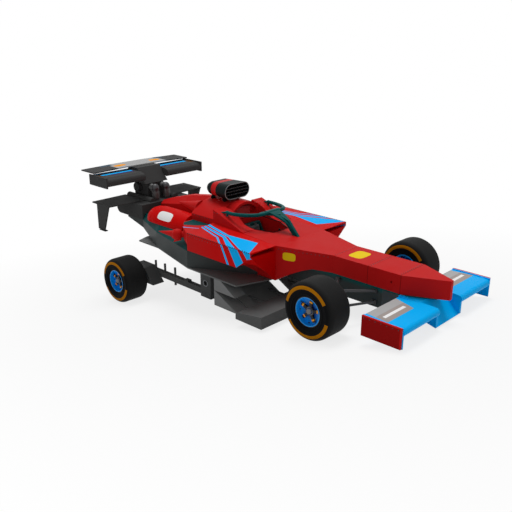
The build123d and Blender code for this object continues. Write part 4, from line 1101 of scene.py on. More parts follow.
# convex patches on its outer wall, as (distance aft, height), anticlockwise
STRIPE_WALLS = (
    ((1.535, 0.36), (1.50, 0.36), (1.335, 0.05), (1.375, 0.05)),
    ((1.40, 0.36), (1.24, 0.36), (1.10, 0.168), (1.235, 0.10)),
    ((1.155, 0.36), (0.98, 0.36), (0.98, 0.285), (1.07, 0.262)),
)
# one convex patch on its top, a painted shadow along its root
ROOT_GAP_SHADOW = ((2.22, 0.46), (2.56, 0.46), (2.56, 0.66), (2.48, 0.72), (2.30, 0.60), (2.24, 0.53))


def nose_joints(place: Place) -> Field:
    """Thin joints across the nose."""
    return any_of(place.x.within(x - JOINT_HALF, x + JOINT_HALF) for x in NOSE_JOINTS)


def stripes(place: Place) -> Field:
    """Cyan stripes that fan out over a sidepod's top and run down its outer wall.

    Args:
        place: places on the sidepod.

    Returns:
        One on the stripes.
    """
    aft = place.x * -1.0
    up = place.face_z.above(*FACING)
    wall = abs(place.face_y).above(*FACING) * place.out.above(POD_WALL_OUT)
    tops = [place.patch(aft, place.out, corners) * up for corners in STRIPE_TOPS]
    walls = [place.patch(aft, place.z, corners) * wall for corners in STRIPE_WALLS]
    return any_of(tops + walls)


def root_gap_shadow(place: Place) -> Field:
    """Painted shadow: a dark strip in the gap along a sidepod's root, at the tail of its top."""
    return place.patch(place.x * -1.0, place.out, ROOT_GAP_SHADOW) * place.face_z.above(*FACING)


def wing_decal(place: Place) -> Field:
    """Decal field on top of a front wing, short of the fence and of the tip.

    Args:
        place: places on the wing.

    Returns:
        One on the field.
    """
    inner, outer = ((place.x - x) * slope + out for x, slope, out in (FENCE_LINE, TIP_LINE))
    return place.up * place.out.above(inner) * place.out.below(outer) * place.z.below(WING_TOP)


def scoop_band(place: Place) -> Field:
    """Band round the outside of the intake, told from its inside by how far out it is.

    Args:
        place: places on the intake.

    Returns:
        One on the band.
    """
    beside = (place.out - SCOOP_FLAT).maths("MAXIMUM", 0.0)
    outside = length_of(beside, place.z - SCOOP_MIDDLE_Z).above(SCOOP_INSIDE)
    return place.x.within(*SCOOP_BAND) * outside


def seam_dots(place: Place) -> Field:
    """Dotted seam along a sidepod's top outer edge."""
    dots = place.x.wave(SEAM_STEP).above(-0.1, 0.1)
    return place.out.above(SEAM_OUT) * place.z.above(SEAM_Z) * dots


def rounded(u: Field, v: Field, middle: Pair, half: Pair) -> Field:
    """Soft cornered patch, as a fourth-power oval.

    Args:
        u: what the first numbers measure.
        v: what the second numbers measure.
        middle: the patch's middle.
        half: half its reach each way.

    Returns:
        One inside the patch.
    """
    across = (u - middle[0]) * (1.0 / half[0])
    along = (v - middle[1]) * (1.0 / half[1])
    square_u, square_v = across * across, along * along
    return ((square_u * square_u) + (square_v * square_v)).below(1.0, 0.02)


MARKS_NOSE = (
    Mark(DARK_LINE, nose_joints),
    Mark(YELLOW, lambda p: rounded(p.x, p.out, (-0.135, 0.0), (0.095, 0.125)) * p.up),
)
MARKS_TUB = (
    Mark(YELLOW, lambda p: rounded(p.x, p.z, (-0.869, 0.221), (0.08, 0.05)) * p.side),
    Mark(DARK_LINE, lambda p: p.x.within(-1.048, -1.04) * p.side),
)
MARKS_POD = (
    Mark(DECAL_RED, lambda p: p.x.above(-1.9, 0.3)),
    Mark(TEAL_BLACK, root_gap_shadow),
    Mark(CYAN, stripes),
    Mark(BLACK, seam_dots),
)
MARKS_COVER = (
    Mark(DECAL_RED, lambda p: p.z.below(0.337)),
    Mark(TEAL, lambda p: p.z.below(0.3245)),
)
MARKS_BARREL = (
    Mark(WHITE, lambda p: rounded(p.x, p.z, (-3.02, 0.325), (0.15, 0.052)) * p.out.above(0.45)),
)
MARKS_SCOOP = (Mark(RED, scoop_band),)
MARKS_PLATE = (Mark(RED, lambda p: p.z.above(0.094).either(p.x.above(1.018))),)
MARKS_FRONT_WING = (
    Mark(LIGHT_GREY, lambda p: p.x.below(0.69) * wing_decal(p)),
    Mark(WING_GREY, lambda p: p.x.within(0.69, 0.845) * wing_decal(p)),
    Mark(WHITE, lambda p: p.x.within(0.735, 0.775) * p.out.within(0.44, 0.82) * wing_decal(p)),
)
MARKS_REAR_WING = (
    Mark(CYAN, lambda p: p.x.within(-4.262, -4.20) * p.up * p.out.within(0.26, 0.80)),
    Mark(CYAN, lambda p: p.x.within(-4.385, -4.33) * p.up * p.out.within(0.26, 0.84)),
    Mark(PURPLE, lambda p: p.x.within(-4.20, -4.15) * p.up * p.out.within(0.26, 0.66)),
    Mark(BROWN, lambda p: p.x.within(-4.262, -4.10) * p.up * p.out.within(0.80, 0.88)),
)
MARKS_FLAP = (
    Mark(DARK_GREY, lambda p: p.out.above(0.46)),
    Mark(SLATE, lambda p: p.out.within(0.40, 0.60) * p.x.below(-4.53)),
    Mark(GOLD, lambda p: rounded(p.x, p.out, (-4.44, 0.33), (0.05, 0.1))),
)
MARKS_HULL = (
    Mark(TEAL_BLACK, lambda p: p.face_z.above(0.3, 0.1)),
    Mark(RED, lambda p: p.z.above(p.x * -0.49 - 0.739) * p.x.within(-1.56, -1.2)),
)
MARKS_KEEL = (Mark(TEAL, lambda p: p.z.above(0.075, 0.03)),)

TEAL_WEAVE = Weave("teal_black_carbon", TEAL_BLACK, TEAL)
STEEL_FINISH = Metal("brushed_steel", STEEL)
BLACK_PART = Paint("black_moulding", BLACK)
BOLT_FINISH = Metal(
    "dark_fastener", paint_colour(70, 70, 74), rough=0.41, metallic=0.9,
    lines=(300.0, 300.0, 300.0))
RIM_LIP_METAL = Metal("rim_lip_metal", DARK_STEEL, rough=0.37, metallic=0.7)
ELBOW_METAL = Metal("elbow_metal", DARK_GREY, rough=0.47, metallic=0.05)
STRAP_FINISH = Cloth("harness_webbing", paint_colour(40, 40, 44))
PAD_FINISH = Cloth("seat_cloth", paint_colour(24, 28, 30), thread=0.002)
RED_CLOTH = Cloth("headrest_cloth", paint_colour(168, 24, 24), thread=0.002)
SCREEN_FINISH = Glass("dark_screen", paint_colour(10, 16, 22))
SCOOP_LIP_PAINT = Paint("scoop_lip_paint", paint_colour(150, 150, 150))
WIRE_PAINT = Paint("wire_paint", paint_colour(120, 122, 124))
BUTTON_PAINTS = {
    name: Paint(f"button_{name}", colour)
    for name, colour in (("red", RED), ("yellow", YELLOW), ("cyan", CYAN), ("white", WHITE))}

# the finish of each group of CAD nodes
NODE_LOOKS: tuple[tuple[Look, tuple[str, ...]], ...] = (
    (Paint("nose_paint", RED, marks=MARKS_NOSE), ("nose_box", "nose_cone")),
    (Paint("tub_paint", RED, marks=MARKS_TUB), ("monocoque",)),
    (Paint("red_paint", RED), ("cockpit_fairings", "headrest", "tail_deck", "pod_tail_cones")),
    (Paint("pod_paint", RED, marks=MARKS_POD), ("sidepod_left", "sidepod_right")),
    (Paint("cover_paint", RED, marks=MARKS_COVER), ("engine_cover",)),
    (Paint("barrel_paint", DECAL_RED, marks=MARKS_BARREL), ("tail_barrels",)),
    (Paint("plate_paint", DEEP_RED, marks=MARKS_PLATE), ("front_endplates",)),
    (Paint("front_wing_paint", CYAN, Coat.GLOSS, MARKS_FRONT_WING), ("front_wing_planes",)),
    (Paint("wedge_paint", CYAN, Coat.GLOSS), ("front_wing_centre",)),
    (Paint("rear_wing_paint", DARK_GREY, Coat.MATT, MARKS_REAR_WING), ("rear_wing_planes",)),
    (Paint("flap_paint", LIGHT_GREY, Coat.MATT, MARKS_FLAP), ("rear_wing_flap",)),
    (Paint("dark_grey_paint", DARK_GREY, Coat.MATT), ("wing_pylon", "tail_block", "tailplanes")),
    # painted fill light: arms, hangers and board are lighter than the other grey parts, for the
    # shade under the car
    (Paint("under_grey_paint", UNDER_FILL_LIT_GREY, Coat.MATT),
     ("trailing_arms", "floor_hangers", "splitter_board")),
    # painted fill light: the ramps are lighter than the other grey parts, for the shade they lie in
    (Paint("ramp_grey_paint", RAMP_FILL_LIT_GREY, Coat.MATT), ("floor_ramps",)),
    (Paint("grille_paint", paint_colour(8, 9, 10), Coat.MATT), ("scoop_grille",)),
    (BLACK_PART, ("steering_wheel",)),
    (TEAL_WEAVE, ("halo",)),
    (Weave("scoop_carbon", paint_colour(8, 28, 28), paint_colour(6, 8, 8), MARKS_SCOOP),
     ("air_scoop",)),
    (Weave("hull_carbon", HULL_GREY, paint_colour(60, 66, 66), MARKS_HULL), ("underbody",)),
    (Weave("keel_carbon", HULL_GREY, paint_colour(56, 66, 66), MARKS_KEEL), ("keel",)),
    # painted fill light: the floor plate's carbon is lighter than the hull's, for the shade under
    # the sidepods
    (Weave("floor_carbon", paint_colour(112, 114, 114), paint_colour(98, 100, 100)),
     ("floor_plate",)),
    (Weave("seat_carbon", paint_colour(10, 26, 26), TEAL_BLACK), ("seat",)),
    (Metal("dark_steel", DARK_STEEL, 0.46, 0.3),
     ("front_wishbones", "knuckle_left", "knuckle_right")),
    (STEEL_FINISH, ("steering_column",)),
    (Metal("engine_metal", paint_colour(70, 72, 74), 0.51, 0.6), ("engine_block",)),
    (Metal("exhaust_metal", paint_colour(62, 62, 64), 0.43, 0.5), ("exhaust_pipes",)),
)


@dataclass(frozen=True)
class Shop:
    """What every sub-assembly works with."""

    stance: Stance
    finishes: Finishes

    def fit(
        self, piece: Workpiece, slot: str, look: Look, body: str = "chassis", smooth: float = CRISP
    ) -> bpy.types.Object:
        """Stand a piece that was modelled on the level body on the wheels, and dress it.

        Args:
            piece: the piece.
            slot: the record's material slot, passed on to the piece's finish, which does not use
                it.
            look: its finish.
            body: the CAD body that it moves with.
            smooth: angle in degrees under which faces are shaded as one.

        Returns:
            The finished object.
        """
        piece.placed(self.stance.matrix())
        return piece.finish(body, slot, self.finishes.get(look), smooth)


def wheel_middle(corner: str) -> Vector:
    """Middle of the wheel at a corner of the car."""
    low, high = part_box(f"tyre_{corner}")
    return (low + high) / 2


def tyre_look(corner: str, side: int) -> Rubber:
    """Finish of the tyre at a corner of the car."""
    return Rubber(f"tyre_rubber_{corner}", Spin(tuple(wheel_middle(corner)), side))


def ring_points(middle: Point, radius: float, count: int) -> list[Point]:
    """Points round a circle that faces sideways.

    Args:
        middle: the circle's middle.
        radius: its radius.
        count: how many points.

    Returns:
        The points.
    """
    x, y, z = middle
    turns = [i * 2 * math.pi / count for i in range(count)]
    return [(x + radius * math.cos(t), y, z + radius * math.sin(t)) for t in turns]


def oval_points(x: float, half: float, height: float, middle_z: float) -> list[Point]:
    """Points round an upright oval with straight top and bottom.

    Args:
        x: where it stands.
        half: half its width.
        height: its height.
        middle_z: height of its middle.

    Returns:
        The points.
    """
    radius, steps = height / 2, 12
    flat = half - radius
    points: list[Point] = []
    for side, start in ((1, -90.0), (-1, 90.0)):
        for turn in (math.radians(start + i * 180 / steps) for i in range(steps + 1)):
            y = side * flat + radius * math.cos(turn)
            points.append((x, y, middle_z + radius * math.sin(turn)))
    return points


@dataclass
class Tyre:
    """One slick tyre with round shoulders, moulded rings and a thin bead."""

    shop: Shop
    radius: float = 0.33
    width: float = 0.369
    shoulder: float = 0.072
    sides: int = 96
    # steps over the sidewall from shoulder to bead, as (how far in, how far out)
    sidewall: tuple[Pair, ...] = (
        (0.004, -0.0015), (0.019, 0.0), (0.004, -0.0035), (0.018, 0.0), (0.003, 0.003),
        (0.004, 0.0), (0.003, -0.006), (0.0218, -0.009), (0.003, 0.002), (0.003, 0.0),
        (0.003, -0.007),
    )

    @staticmethod
    def is_cap(spot: Vector, facing: Vector) -> bool:
        """Whether a face is one of the bar's two round ends."""
        return abs(facing.z) > 0.99 and spot.xy.length < 0.01

    def build(self, corner: str, side: int) -> None:
        """Model the tyre and let it stand for its plain solid.

        Args:
            corner: the wheel's corner of the car, such as front_left.
            side: +1 for left, -1 for right.
        """
        half = self.width / 2
        name = f"tyre_smooth_{corner}"
        tyre = Workpiece.bar(name, (0, 0, -half), (0, 0, half), self.radius, self.sides)
        tyre.bevel(lambda spot, run: abs(spot.z) > half - NEAR, self.shoulder, 9)
        tyre.inset(self.is_cap, self.sidewall)
        tyre.pick(Pick.FACE, self.is_cap)
        bpy.ops.mesh.bridge_edge_loops()
        tyre.done()
        across = Matrix.Rotation(math.radians(90), 4, "X")
        tyre.placed(Matrix.Translation(wheel_middle(corner)) @ across).close_up()
        rubber = self.shop.finishes.get(tyre_look(corner, side))
        thing = tyre.finish(f"wheel_{corner}", "tyre", rubber)
        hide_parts(f"tyre_{corner}")


@dataclass
class WheelTrim:
    """Rim lip and bolt circle of one wheel, over its solid rim."""

    shop: Shop
    lip_radius: float = 0.1655
    lip_out: float = 0.1585
    lip_thick: float = 0.0052
    bolts: int = 10
    bolt_circle: float = 0.148
    bolt_radius: float = 0.0065
    bolt_length: float = 0.009
    socket: tuple[Pair, ...] = ((0.0012, 0.0008), (0.0018, 0.0), (0.0002, -0.004))
    face_out: float = 0.0985

    def bolt(self, middle: Vector, side: int) -> Workpiece:
        """One socket-headed bolt on the rim's face.

        Args:
            middle: the wheel's middle.
            side: +1 for left, -1 for right.

        Returns:
            The bolt.
        """
        out = side * (self.face_out - SINK)
        root = Vector((middle.x + self.bolt_circle, middle.y + out, middle.z))
        tip = root + Vector((0, side * self.bolt_length, 0))
        return Workpiece.bar("rim_bolt", root, tip, self.bolt_radius, 12).inset(
            towards(1, side), self.socket)

    def build(self, corner: str, side: int) -> None:
        """Model the lip and the ring of bolts of one wheel.

        Args:
            corner: the wheel's corner of the car, such as front_left.
            side: +1 for left, -1 for right.
        """
        middle, body = wheel_middle(corner), f"wheel_{corner}"
        spot = (middle.x, middle.y + side * self.lip_out, middle.z)
        ring = ring_points(spot, self.lip_radius, 72)
        lip = Workpiece.tube(f"rim_lip_{corner}", ring, self.lip_thick, closed=True)
        first = self.bolt(middle, side)
        there, back = Matrix.Translation(middle), Matrix.Translation(-middle)
        turns = [i * 2 * math.pi / self.bolts for i in range(1, self.bolts)]
        copies = [
            first.copied("rim_bolt", there @ Matrix.Rotation(turn, 4, "Y") @ back)
            for turn in turns]
        first.joined(copies, f"rim_bolts_{corner}")
        lip.finish(body, "rim", self.shop.finishes.get(RIM_LIP_METAL))
        first.finish(body, "metal", self.shop.finishes.get(BOLT_FINISH))


@dataclass
class HandWheel:
    """Screen, buttons, dials and paddles on the driver's hand wheel."""

    shop: Shop
    x: float = -1.480
    z: float = 0.268
    half_plate: float = 0.009
    # half the screen's width and height, and how far its middle is over the wheel's
    screen: Pair = (0.034, 0.018)
    screen_up: float = 0.012
    bezel_wide: float = 0.004
    bezel_high: float = 0.005
    bezel_round: float = 0.003
    bezel_steps: tuple[Pair, ...] = ((0.003, 0.0), (0.0006, -0.0015))
    # where the glass starts and ends, out of the plate's face
    glass: Pair = (0.002, 0.0042)
    glass_steps: tuple[Pair, ...] = ((0.0015, 0.0002),)
    glass_round: float = 0.0006
    button_ys: Pair = (0.046, 0.062)
    button_zs: Point = (-0.008, 0.010, 0.028)
    button_radius: float = 0.0055
    button_high: float = 0.005
    button_steps: tuple[Pair, ...] = ((0.0008, 0.0006), (0.0012, 0.0), (0.0003, -0.0008))
    dial_ys: Point = (-0.030, 0.0, 0.030)
    dial_down: float = 0.026
    dial_radius: float = 0.0085
    dial_high: float = 0.009
    knurl_steps: tuple[Pair, ...] = ((0.0004, 0.0), (0.0003, -0.0006))
    dial_steps: tuple[Pair, ...] = ((0.001, 0.0006), (0.004, 0.0), (0.0004, 0.001))
    # a paddle's reach, as (low, high), behind the plate, sideways and up
    paddle_back: Pair = (0.004, 0.008)
    paddle_out: Pair = (0.02, 0.082)
    paddle_up: Pair = (-0.012, 0.026)
    paddle_flare: Point = (0.006, 0.012, 0.006)
    paddle_round: float = 0.0015

    @property
    def face(self) -> float:
        """Where the plate's face is, on the driver's side."""
        return self.x - self.half_plate

    def fit(self, piece: Workpiece, look: Look) -> None:
        """Dress a piece that turns with the hand wheel."""
        self.shop.fit(piece, "black_carbon", look, "hand_wheel")

    def panel(self, name: str, back: float, front: float, margin: float) -> Workpiece:
        """A block about the screen's place.

        Args:
            name: the block's name.
            back: where it starts, out of the plate's face.
            front: where it ends, out of the face.
            margin: how far it reaches past the screen.

        Returns:
            The block.
        """
        (half_y, half_z), middle = self.screen, self.z + self.screen_up
        low = (self.face - front, -half_y - margin, middle - half_z - margin)
        high = (self.face - back, half_y + margin, middle + half_z + margin)
        return Workpiece.block(name, low, high)

    def build_screen(self) -> None:
        """Raised bezel with a dark screen sunk into it."""
        bezel = self.panel("wheel_bezel", -SINK, self.bezel_high, self.bezel_wide)
        bezel.bevel(lambda spot, run: abs(run.x) > 0.9, self.bezel_round, 3)
        self.fit(bezel.inset(towards(0, -1), self.bezel_steps), BLACK_PART)
        glass = self.panel("wheel_screen", *self.glass, 0.0)
        glass.inset(towards(0, -1), self.glass_steps).soften(self.glass_round)
        self.fit(glass, SCREEN_FINISH)

    def build_buttons(self) -> None:
        """Two blocks of round buttons, one column of each colour."""
        columns = [side * y for side in SIDES.values() for y in self.button_ys]
        z, step = self.z + self.button_zs[0], self.button_zs[1] - self.button_zs[0]
        for y, (name, paint) in zip(columns, BUTTON_PAINTS.items()):
            root, tip = (self.face + SINK, y, z), (self.face - self.button_high, y, z)
            first = Workpiece.bar(f"wheel_buttons_{name}", root, tip, self.button_radius, 16)
            first.inset(towards(0, -1), self.button_steps)
            self.fit(first.repeat(len(self.button_zs), (0, 0, step)), paint)

    def build_dials(self) -> None:
        """Three knurled dials along the foot of the plate."""
        y, z = self.dial_ys[0], self.z - self.dial_down
        root, tip = (self.face + SINK, y, z), (self.face - self.dial_high, y, z)
        dial = Workpiece.bar("wheel_dials", root, tip, self.dial_radius, 24)
        dial.inset(lambda spot, facing: abs(facing.x) < 0.1, self.knurl_steps)
        dial.inset(towards(0, -1), self.dial_steps)
        dial.repeat(len(self.dial_ys), (0, self.dial_ys[1] - y, 0))
        self.fit(dial, BLACK_PART)

    def build_paddles(self) -> None:
        """Shift paddles behind the plate."""
        back = self.x + self.half_plate
        xs = [back + reach for reach in self.paddle_back]
        zs = [self.z + reach for reach in self.paddle_up]
        flare_x, flare_y, flare_z = self.paddle_flare
        for word, side in SIDES.items():
            ys = sorted(side * reach for reach in self.paddle_out)
            paddle = Workpiece.block(f"wheel_paddle_{word}", *zip(xs, ys, zs))
            paddle.pick(Pick.FACE, towards(1, side))
            paddle.draw_out((flare_x, side * flare_y, flare_z))
            paddle.done()
            self.fit(paddle.soften(self.paddle_round, 3), TEAL_WEAVE)

    def build(self) -> None:
        """Model everything on the hand wheel."""
        self.build_screen()
        self.build_buttons()
        self.build_dials()
        self.build_paddles()


@dataclass(frozen=True)
class Pad:
    """One padded cushion: a thin block about a place, tipped back and then puffed up."""

    name: str
    middle: Point
    half: Point
    tip: float
    finish: Cloth = PAD_FINISH


@dataclass
class Cockpit:
    """Seat pads, headrest pad, harness and the rubber edging of the opening."""

    shop: Shop
    pads: tuple[Pad, ...] = (
        Pad("seat_back_pad", (-1.846, 0.0, 0.165), (0.014, 0.125, 0.155), -17.0),
        Pad("seat_base_pad", (-1.715, 0.0, -0.018), (0.055, 0.125, 0.014), 0.0),
        Pad("headrest_pad", (-2.082, 0.0, 0.485), (0.016, 0.145, 0.062), 0.0, RED_CLOTH),
    )
    # a pad's rounding, in its smallest half size
    pad_round: float = 0.75
    voxel: float = 0.006
    pressure: float = 4.0
    cloth_frames: int = 20
    cap: float = 0.008
    # a strap's width and thickness, and how far its first block reaches each way
    strap: Pair = (0.044, 0.003)
    strap_start: float = 0.004
    strap_round: float = 0.0008
    shoulder_y: float = 0.062
    # a shoulder strap's line, as (x, share of its distance out, height)
    shoulder: tuple[Point, ...] = (
        (-1.893, 1.0, 0.335), (-1.862, 1.0, 0.290), (-1.826, 0.9, 0.180),
        (-1.790, 0.6, 0.090), (-1.762, 0.3, 0.040),
    )
    lap: tuple[Point, ...] = (
        (-1.770, -0.148, 0.006), (-1.758, -0.07, 0.026), (-1.752, 0.0, 0.030),
        (-1.758, 0.07, 0.026), (-1.770, 0.148, 0.006),
    )
    buckle: tuple[Point, Point] = ((-1.752, 0.0, 0.028), (-1.742, 0.0, 0.046))
    buckle_radius: float = 0.026
    buckle_steps: tuple[Pair, ...] = ((0.004, 0.002), (0.008, 0.0), (0.002, -0.003))
    buckle_round: float = 0.0012
    # the opening's left edge as (x, distance out), and its top's height, slope and start
    opening: tuple[Pair, ...] = (
        (-2.004, 0.238), (-1.85, 0.238), (-1.60, 0.238), (-1.48, 0.183), (-1.376, 0.134))
    top: Point = (0.336, 0.0572, -1.036)
    edging_up: float = 0.002
    edging_radius: float = 0.006

    def puff(self, piece: Workpiece) -> None:
        """Blow a pad up a little as cloth, and cap how far its skin moves.

        Args:
            piece: the pad.
        """
        piece.take()
        mesh = piece.thing.data
        mesh.remesh_voxel_size = self.voxel
        bpy.ops.object.voxel_remesh()
        start = [v.co.copy() for v in mesh.vertices]
        cloth = piece.thing.modifiers.new("cloth", "CLOTH")
        cloth.settings.use_pressure = True
        cloth.settings.uniform_pressure_force = self.pressure
        cloth.settings.effector_weights.gravity = 0.0
        for frame_number in range(1, self.cloth_frames + 1):
            bpy.context.scene.frame_set(frame_number)
        bpy.ops.object.modifier_apply(modifier=cloth.name)
        for vertex, old in zip(piece.thing.data.vertices, start):
            moved = vertex.co - old
            if moved.length > self.cap:
                vertex.co = old + moved * (self.cap / moved.length)
        bpy.context.scene.frame_set(1)
        piece.swell()

    def build_pads(self) -> None:
        """Cushions of the seat and the headrest."""
        for pad in self.pads:
            piece = Workpiece.block(pad.name, tuple(-h for h in pad.half), pad.half)
            piece.soften(min(pad.half) * self.pad_round, 3)
            self.puff(piece)
            tip = Matrix.Rotation(math.radians(pad.tip), 4, "Y")
            piece.placed(Matrix.Translation(pad.middle) @ tip)
            thing = self.shop.fit(piece, "seat_fabric", pad.finish, smooth=ROUND)

    def strap_along(self, name: str, points: Sequence[Point], across: int) -> None:
        """Model a flat strap that is extruded from point to point.

        Args:
            name: the strap's name.
            points: the strap's middle line.
            across: axis that its width lies along, 0 for x or 1 for y.
        """
        width, thick = self.strap
        half, lift = Vector((thick / 2, width / 2, 0)), Vector((0, 0, self.strap_start))
        axis = 2
        if across == 0:
            half, lift, axis = half.yzx, lift.xzy, 1
        first, second = Vector(points[0]), Vector(points[1])
        strap = Workpiece.block(name, first - half - lift, first + half + lift)
        strap.pick(Pick.FACE, towards(axis, 1.0 if second[axis] > first[axis] else -1.0))
        for start, end in zip(points, points[1:]):
            strap.draw_out(Vector(end) - Vector(start))
        strap.done()
        self.shop.fit(strap.soften(self.strap_round), "seat_fabric", STRAP_FINISH)

    def build_harness(self) -> None:
        """Two shoulder straps, a lap strap and their buckle."""
        for word, side in SIDES.items():
            line = [(x, side * self.shoulder_y * share, z) for x, share, z in self.shoulder]
            self.strap_along(f"shoulder_strap_{word}", line, 1)
        self.strap_along("lap_strap", self.lap, 0)
        buckle = Workpiece.bar("harness_buckle", *self.buckle, self.buckle_radius, 24)
        buckle.inset(towards(2, 1, 0.8), self.buckle_steps).soften(self.buckle_round)
        self.shop.fit(buckle, "metal", STEEL_FINISH)

    def build_edging(self) -> None:
        """Rubber edging round the cockpit's opening."""
        height, slope, start = self.top
        left = [(x, y, height + (start - x) * slope + self.edging_up) for x, y in self.opening]
        right = [(x, -y, z) for x, y, z in reversed(left)]
        edging = Workpiece.tube("cockpit_edging", [*left, *right], self.edging_radius)
        self.shop.fit(edging, "black_carbon", BLACK_PART, smooth=ROUND)

    def build(self) -> None:
        """Model everything in the cockpit."""
        self.build_pads()
        self.build_harness()
        self.build_edging()


@dataclass
class HaloFairing:
    """Smooth blade over the guard's centre strut, wide at the crown and thin at the foot."""

    shop: Shop
    # rings from the foot to the crown, as (x, height, half width)
    path: tuple[Point, ...] = (
        (-1.098, 0.345, 0.020), (-1.170, 0.424, 0.028), (-1.255, 0.500, 0.046),
        (-1.370, 0.545, 0.074), (-1.490, 0.585, 0.098), (-1.560, 0.586, 0.112),
    )
    half_thick: float = 0.013
    foot_deep: float = 0.010
    edge_round: float = 0.004

    def build(self) -> None:
        """Extrude the blade from foot to crown, and round it off."""
        x, z, half = self.path[0]
        low, high = (x - self.half_thick, -half, z - self.foot_deep), (x + self.half_thick, half, z)
        blade = Workpiece.block("halo_fairing", low, high)
        blade.pick(Pick.FACE, towards(2, 1))
        for (x0, z0, _half), (x1, z1, half) in zip(self.path, self.path[1:]):
            move = (x1 - x0, 0, z1 - z0)
            blade.draw_out(move)
            self.set_ring((x1, z1), half, Vector(move).normalized())
        blade.done()
        blade.close_up().soften(self.edge_round, 2, 50.0).swell()
        self.shop.fit(blade, "teal_black", TEAL_WEAVE, smooth=ROUND)

    def set_ring(self, middle: Pair, half: float, run: Vector) -> None:
        """Set the four selected corners square to the path, at their half width.

        Args:
            middle: the ring's x and height.
            half: its half width.
            run: the path's heading there.
        """
        across = Vector((run.z, 0, -run.x)) * self.half_thick
        bpy.ops.object.mode_set(mode="OBJECT")
        mesh = bpy.context.active_object.data
        for corner in (v for v in mesh.vertices if v.select):
            sign = 1.0 if corner.co.x > middle[0] - SLACK else -1.0
            corner.co = (
                middle[0] + sign * across.x, math.copysign(half, corner.co.y),
                middle[1] + sign * across.z)
        bpy.ops.object.mode_set(mode="EDIT")


@dataclass
class Scoop:
    """Grey lip and rippled wires of the intake's mouth, and the collars of its struts."""

    shop: Shop
    mouth_x: float = -2.172
    half: float = 0.230
    height: float = 0.212
    middle_z: float = 0.742
    # how far the lip's middle line lies inside the mouth's edge, and its thickness
    lip_in: float = 0.006
    lip_radius: float = 0.005
    wires: int = 3
    wire_in: float = 0.02
    wire_back: float = 0.010
    wire_radius: float = 0.0018
    # a wire's ripple: how long one swing is, and how high
    ripple: Pair = (0.018, 0.005)
    strut_xs: Pair = (-2.290, -2.524)
    strut_y: float = 0.120
    collar_z: float = 0.600
    collar_high: float = 0.034
    collar_radius: float = 0.029
    collar_steps: tuple[Pair, ...] = ((0.004, 0.003), (0.007, 0.0))
    collar_round: float = 0.0015
    clamp_half: Pair = (0.010, 0.040)
    clamp_rise: Pair = (0.008, 0.026)
    clamp_round: float = 0.002

    def collar(self, x: float, y: float) -> Workpiece:
        """One clamped collar at the foot of a strut.

        Args:
            x: where the strut stands along the body.
            y: where it stands across the body.

        Returns:
            The collar.
        """
        z = self.collar_z
        top = (x, y, z + self.collar_high)
        collar = Workpiece.bar("collar", (x, y, z), top, self.collar_radius, 24)
        collar.inset(towards(2, 1), self.collar_steps).soften(self.collar_round)
        (half_x, half_y), (low, high) = self.clamp_half, self.clamp_rise
        clamp = Workpiece.block(
            "clamp", (x - half_x, y - half_y, z + low), (x + half_x, y + half_y, z + high))
        return collar.joined([clamp.soften(self.clamp_round)], "collar")

    def build_collars(self) -> None:
        """Collars of all four struts."""
        spots = [(x, side * self.strut_y) for x in self.strut_xs for side in SIDES.values()]
        first, *others = [self.collar(*spot) for spot in spots]
        self.shop.fit(first.joined(others, "scoop_collars"), "black_carbon", BLACK_PART)

    def build_lip(self) -> None:
        """Lip round the mouth."""
        half, height = self.half - self.lip_in, self.height - 2 * self.lip_in
        line = oval_points(self.mouth_x, half, height, self.middle_z)
        lip = Workpiece.tube("scoop_lip", line, self.lip_radius, closed=True)
        self.shop.fit(lip, "light_grey", SCOOP_LIP_PAINT, smooth=ROUND)

    def build_wires(self) -> None:
        """Rippled wires across the mouth."""
        inner, flat = self.height / 2 - self.wire_in, self.half - self.height / 2
        step, swing = self.ripple
        x = self.mouth_x - self.wire_back
        rows: list[Workpiece] = []
        for i in range(self.wires):
            rise = inner * (2 * (i + 1) / (self.wires + 1) - 1)
            reach = flat + math.sqrt(inner ** 2 - rise ** 2)
            count = 2 * round(reach / step)
            line = [
                (x, reach * (2 * k / count - 1), self.middle_z + rise + swing * (-1) ** k)
                for k in range(count + 1)]
            rows.append(Workpiece.tube(f"wire_{i}", line, self.wire_radius))
        net = rows[0].joined(rows[1:], "scoop_wires")
        self.shop.fit(net, "metal", WIRE_PAINT, smooth=ROUND)

    def build(self) -> None:
        """Model the collars, the lip and the wires."""
        self.build_collars()
        self.build_lip()
        self.build_wires()


class Facing(Enum):
    """Which way a row's face looks, on the left side of the car."""

    UP = (0, 0, 1)
    OUT = (0, 1, 0)
    TUB = (0.306, 0.952, 0)


@dataclass(frozen=True)
class FastenerRow:
    """A row of small domed fasteners along a line, on a face."""

    name: str
    start: Point
    end: Point
    facing: Facing
    count: int
    radius: float = 0.0055
    mirrored: bool = True


def nose_row(name: str, x: float) -> FastenerRow:
    """A row across the top of the nose."""
    return FastenerRow(name, (x, 0.205, 0.330), (x, -0.205, 0.330), Facing.UP, 11, mirrored=False)


def long_row(
    name: str, xs: Pair, out: float, z: float, facing: Facing, count: int, radius: float = 0.0055
) -> FastenerRow:
    """A row that runs straight back along the body, with a twin on the right."""
    return FastenerRow(name, (xs[0], out, z), (xs[1], out, z), facing, count, radius)


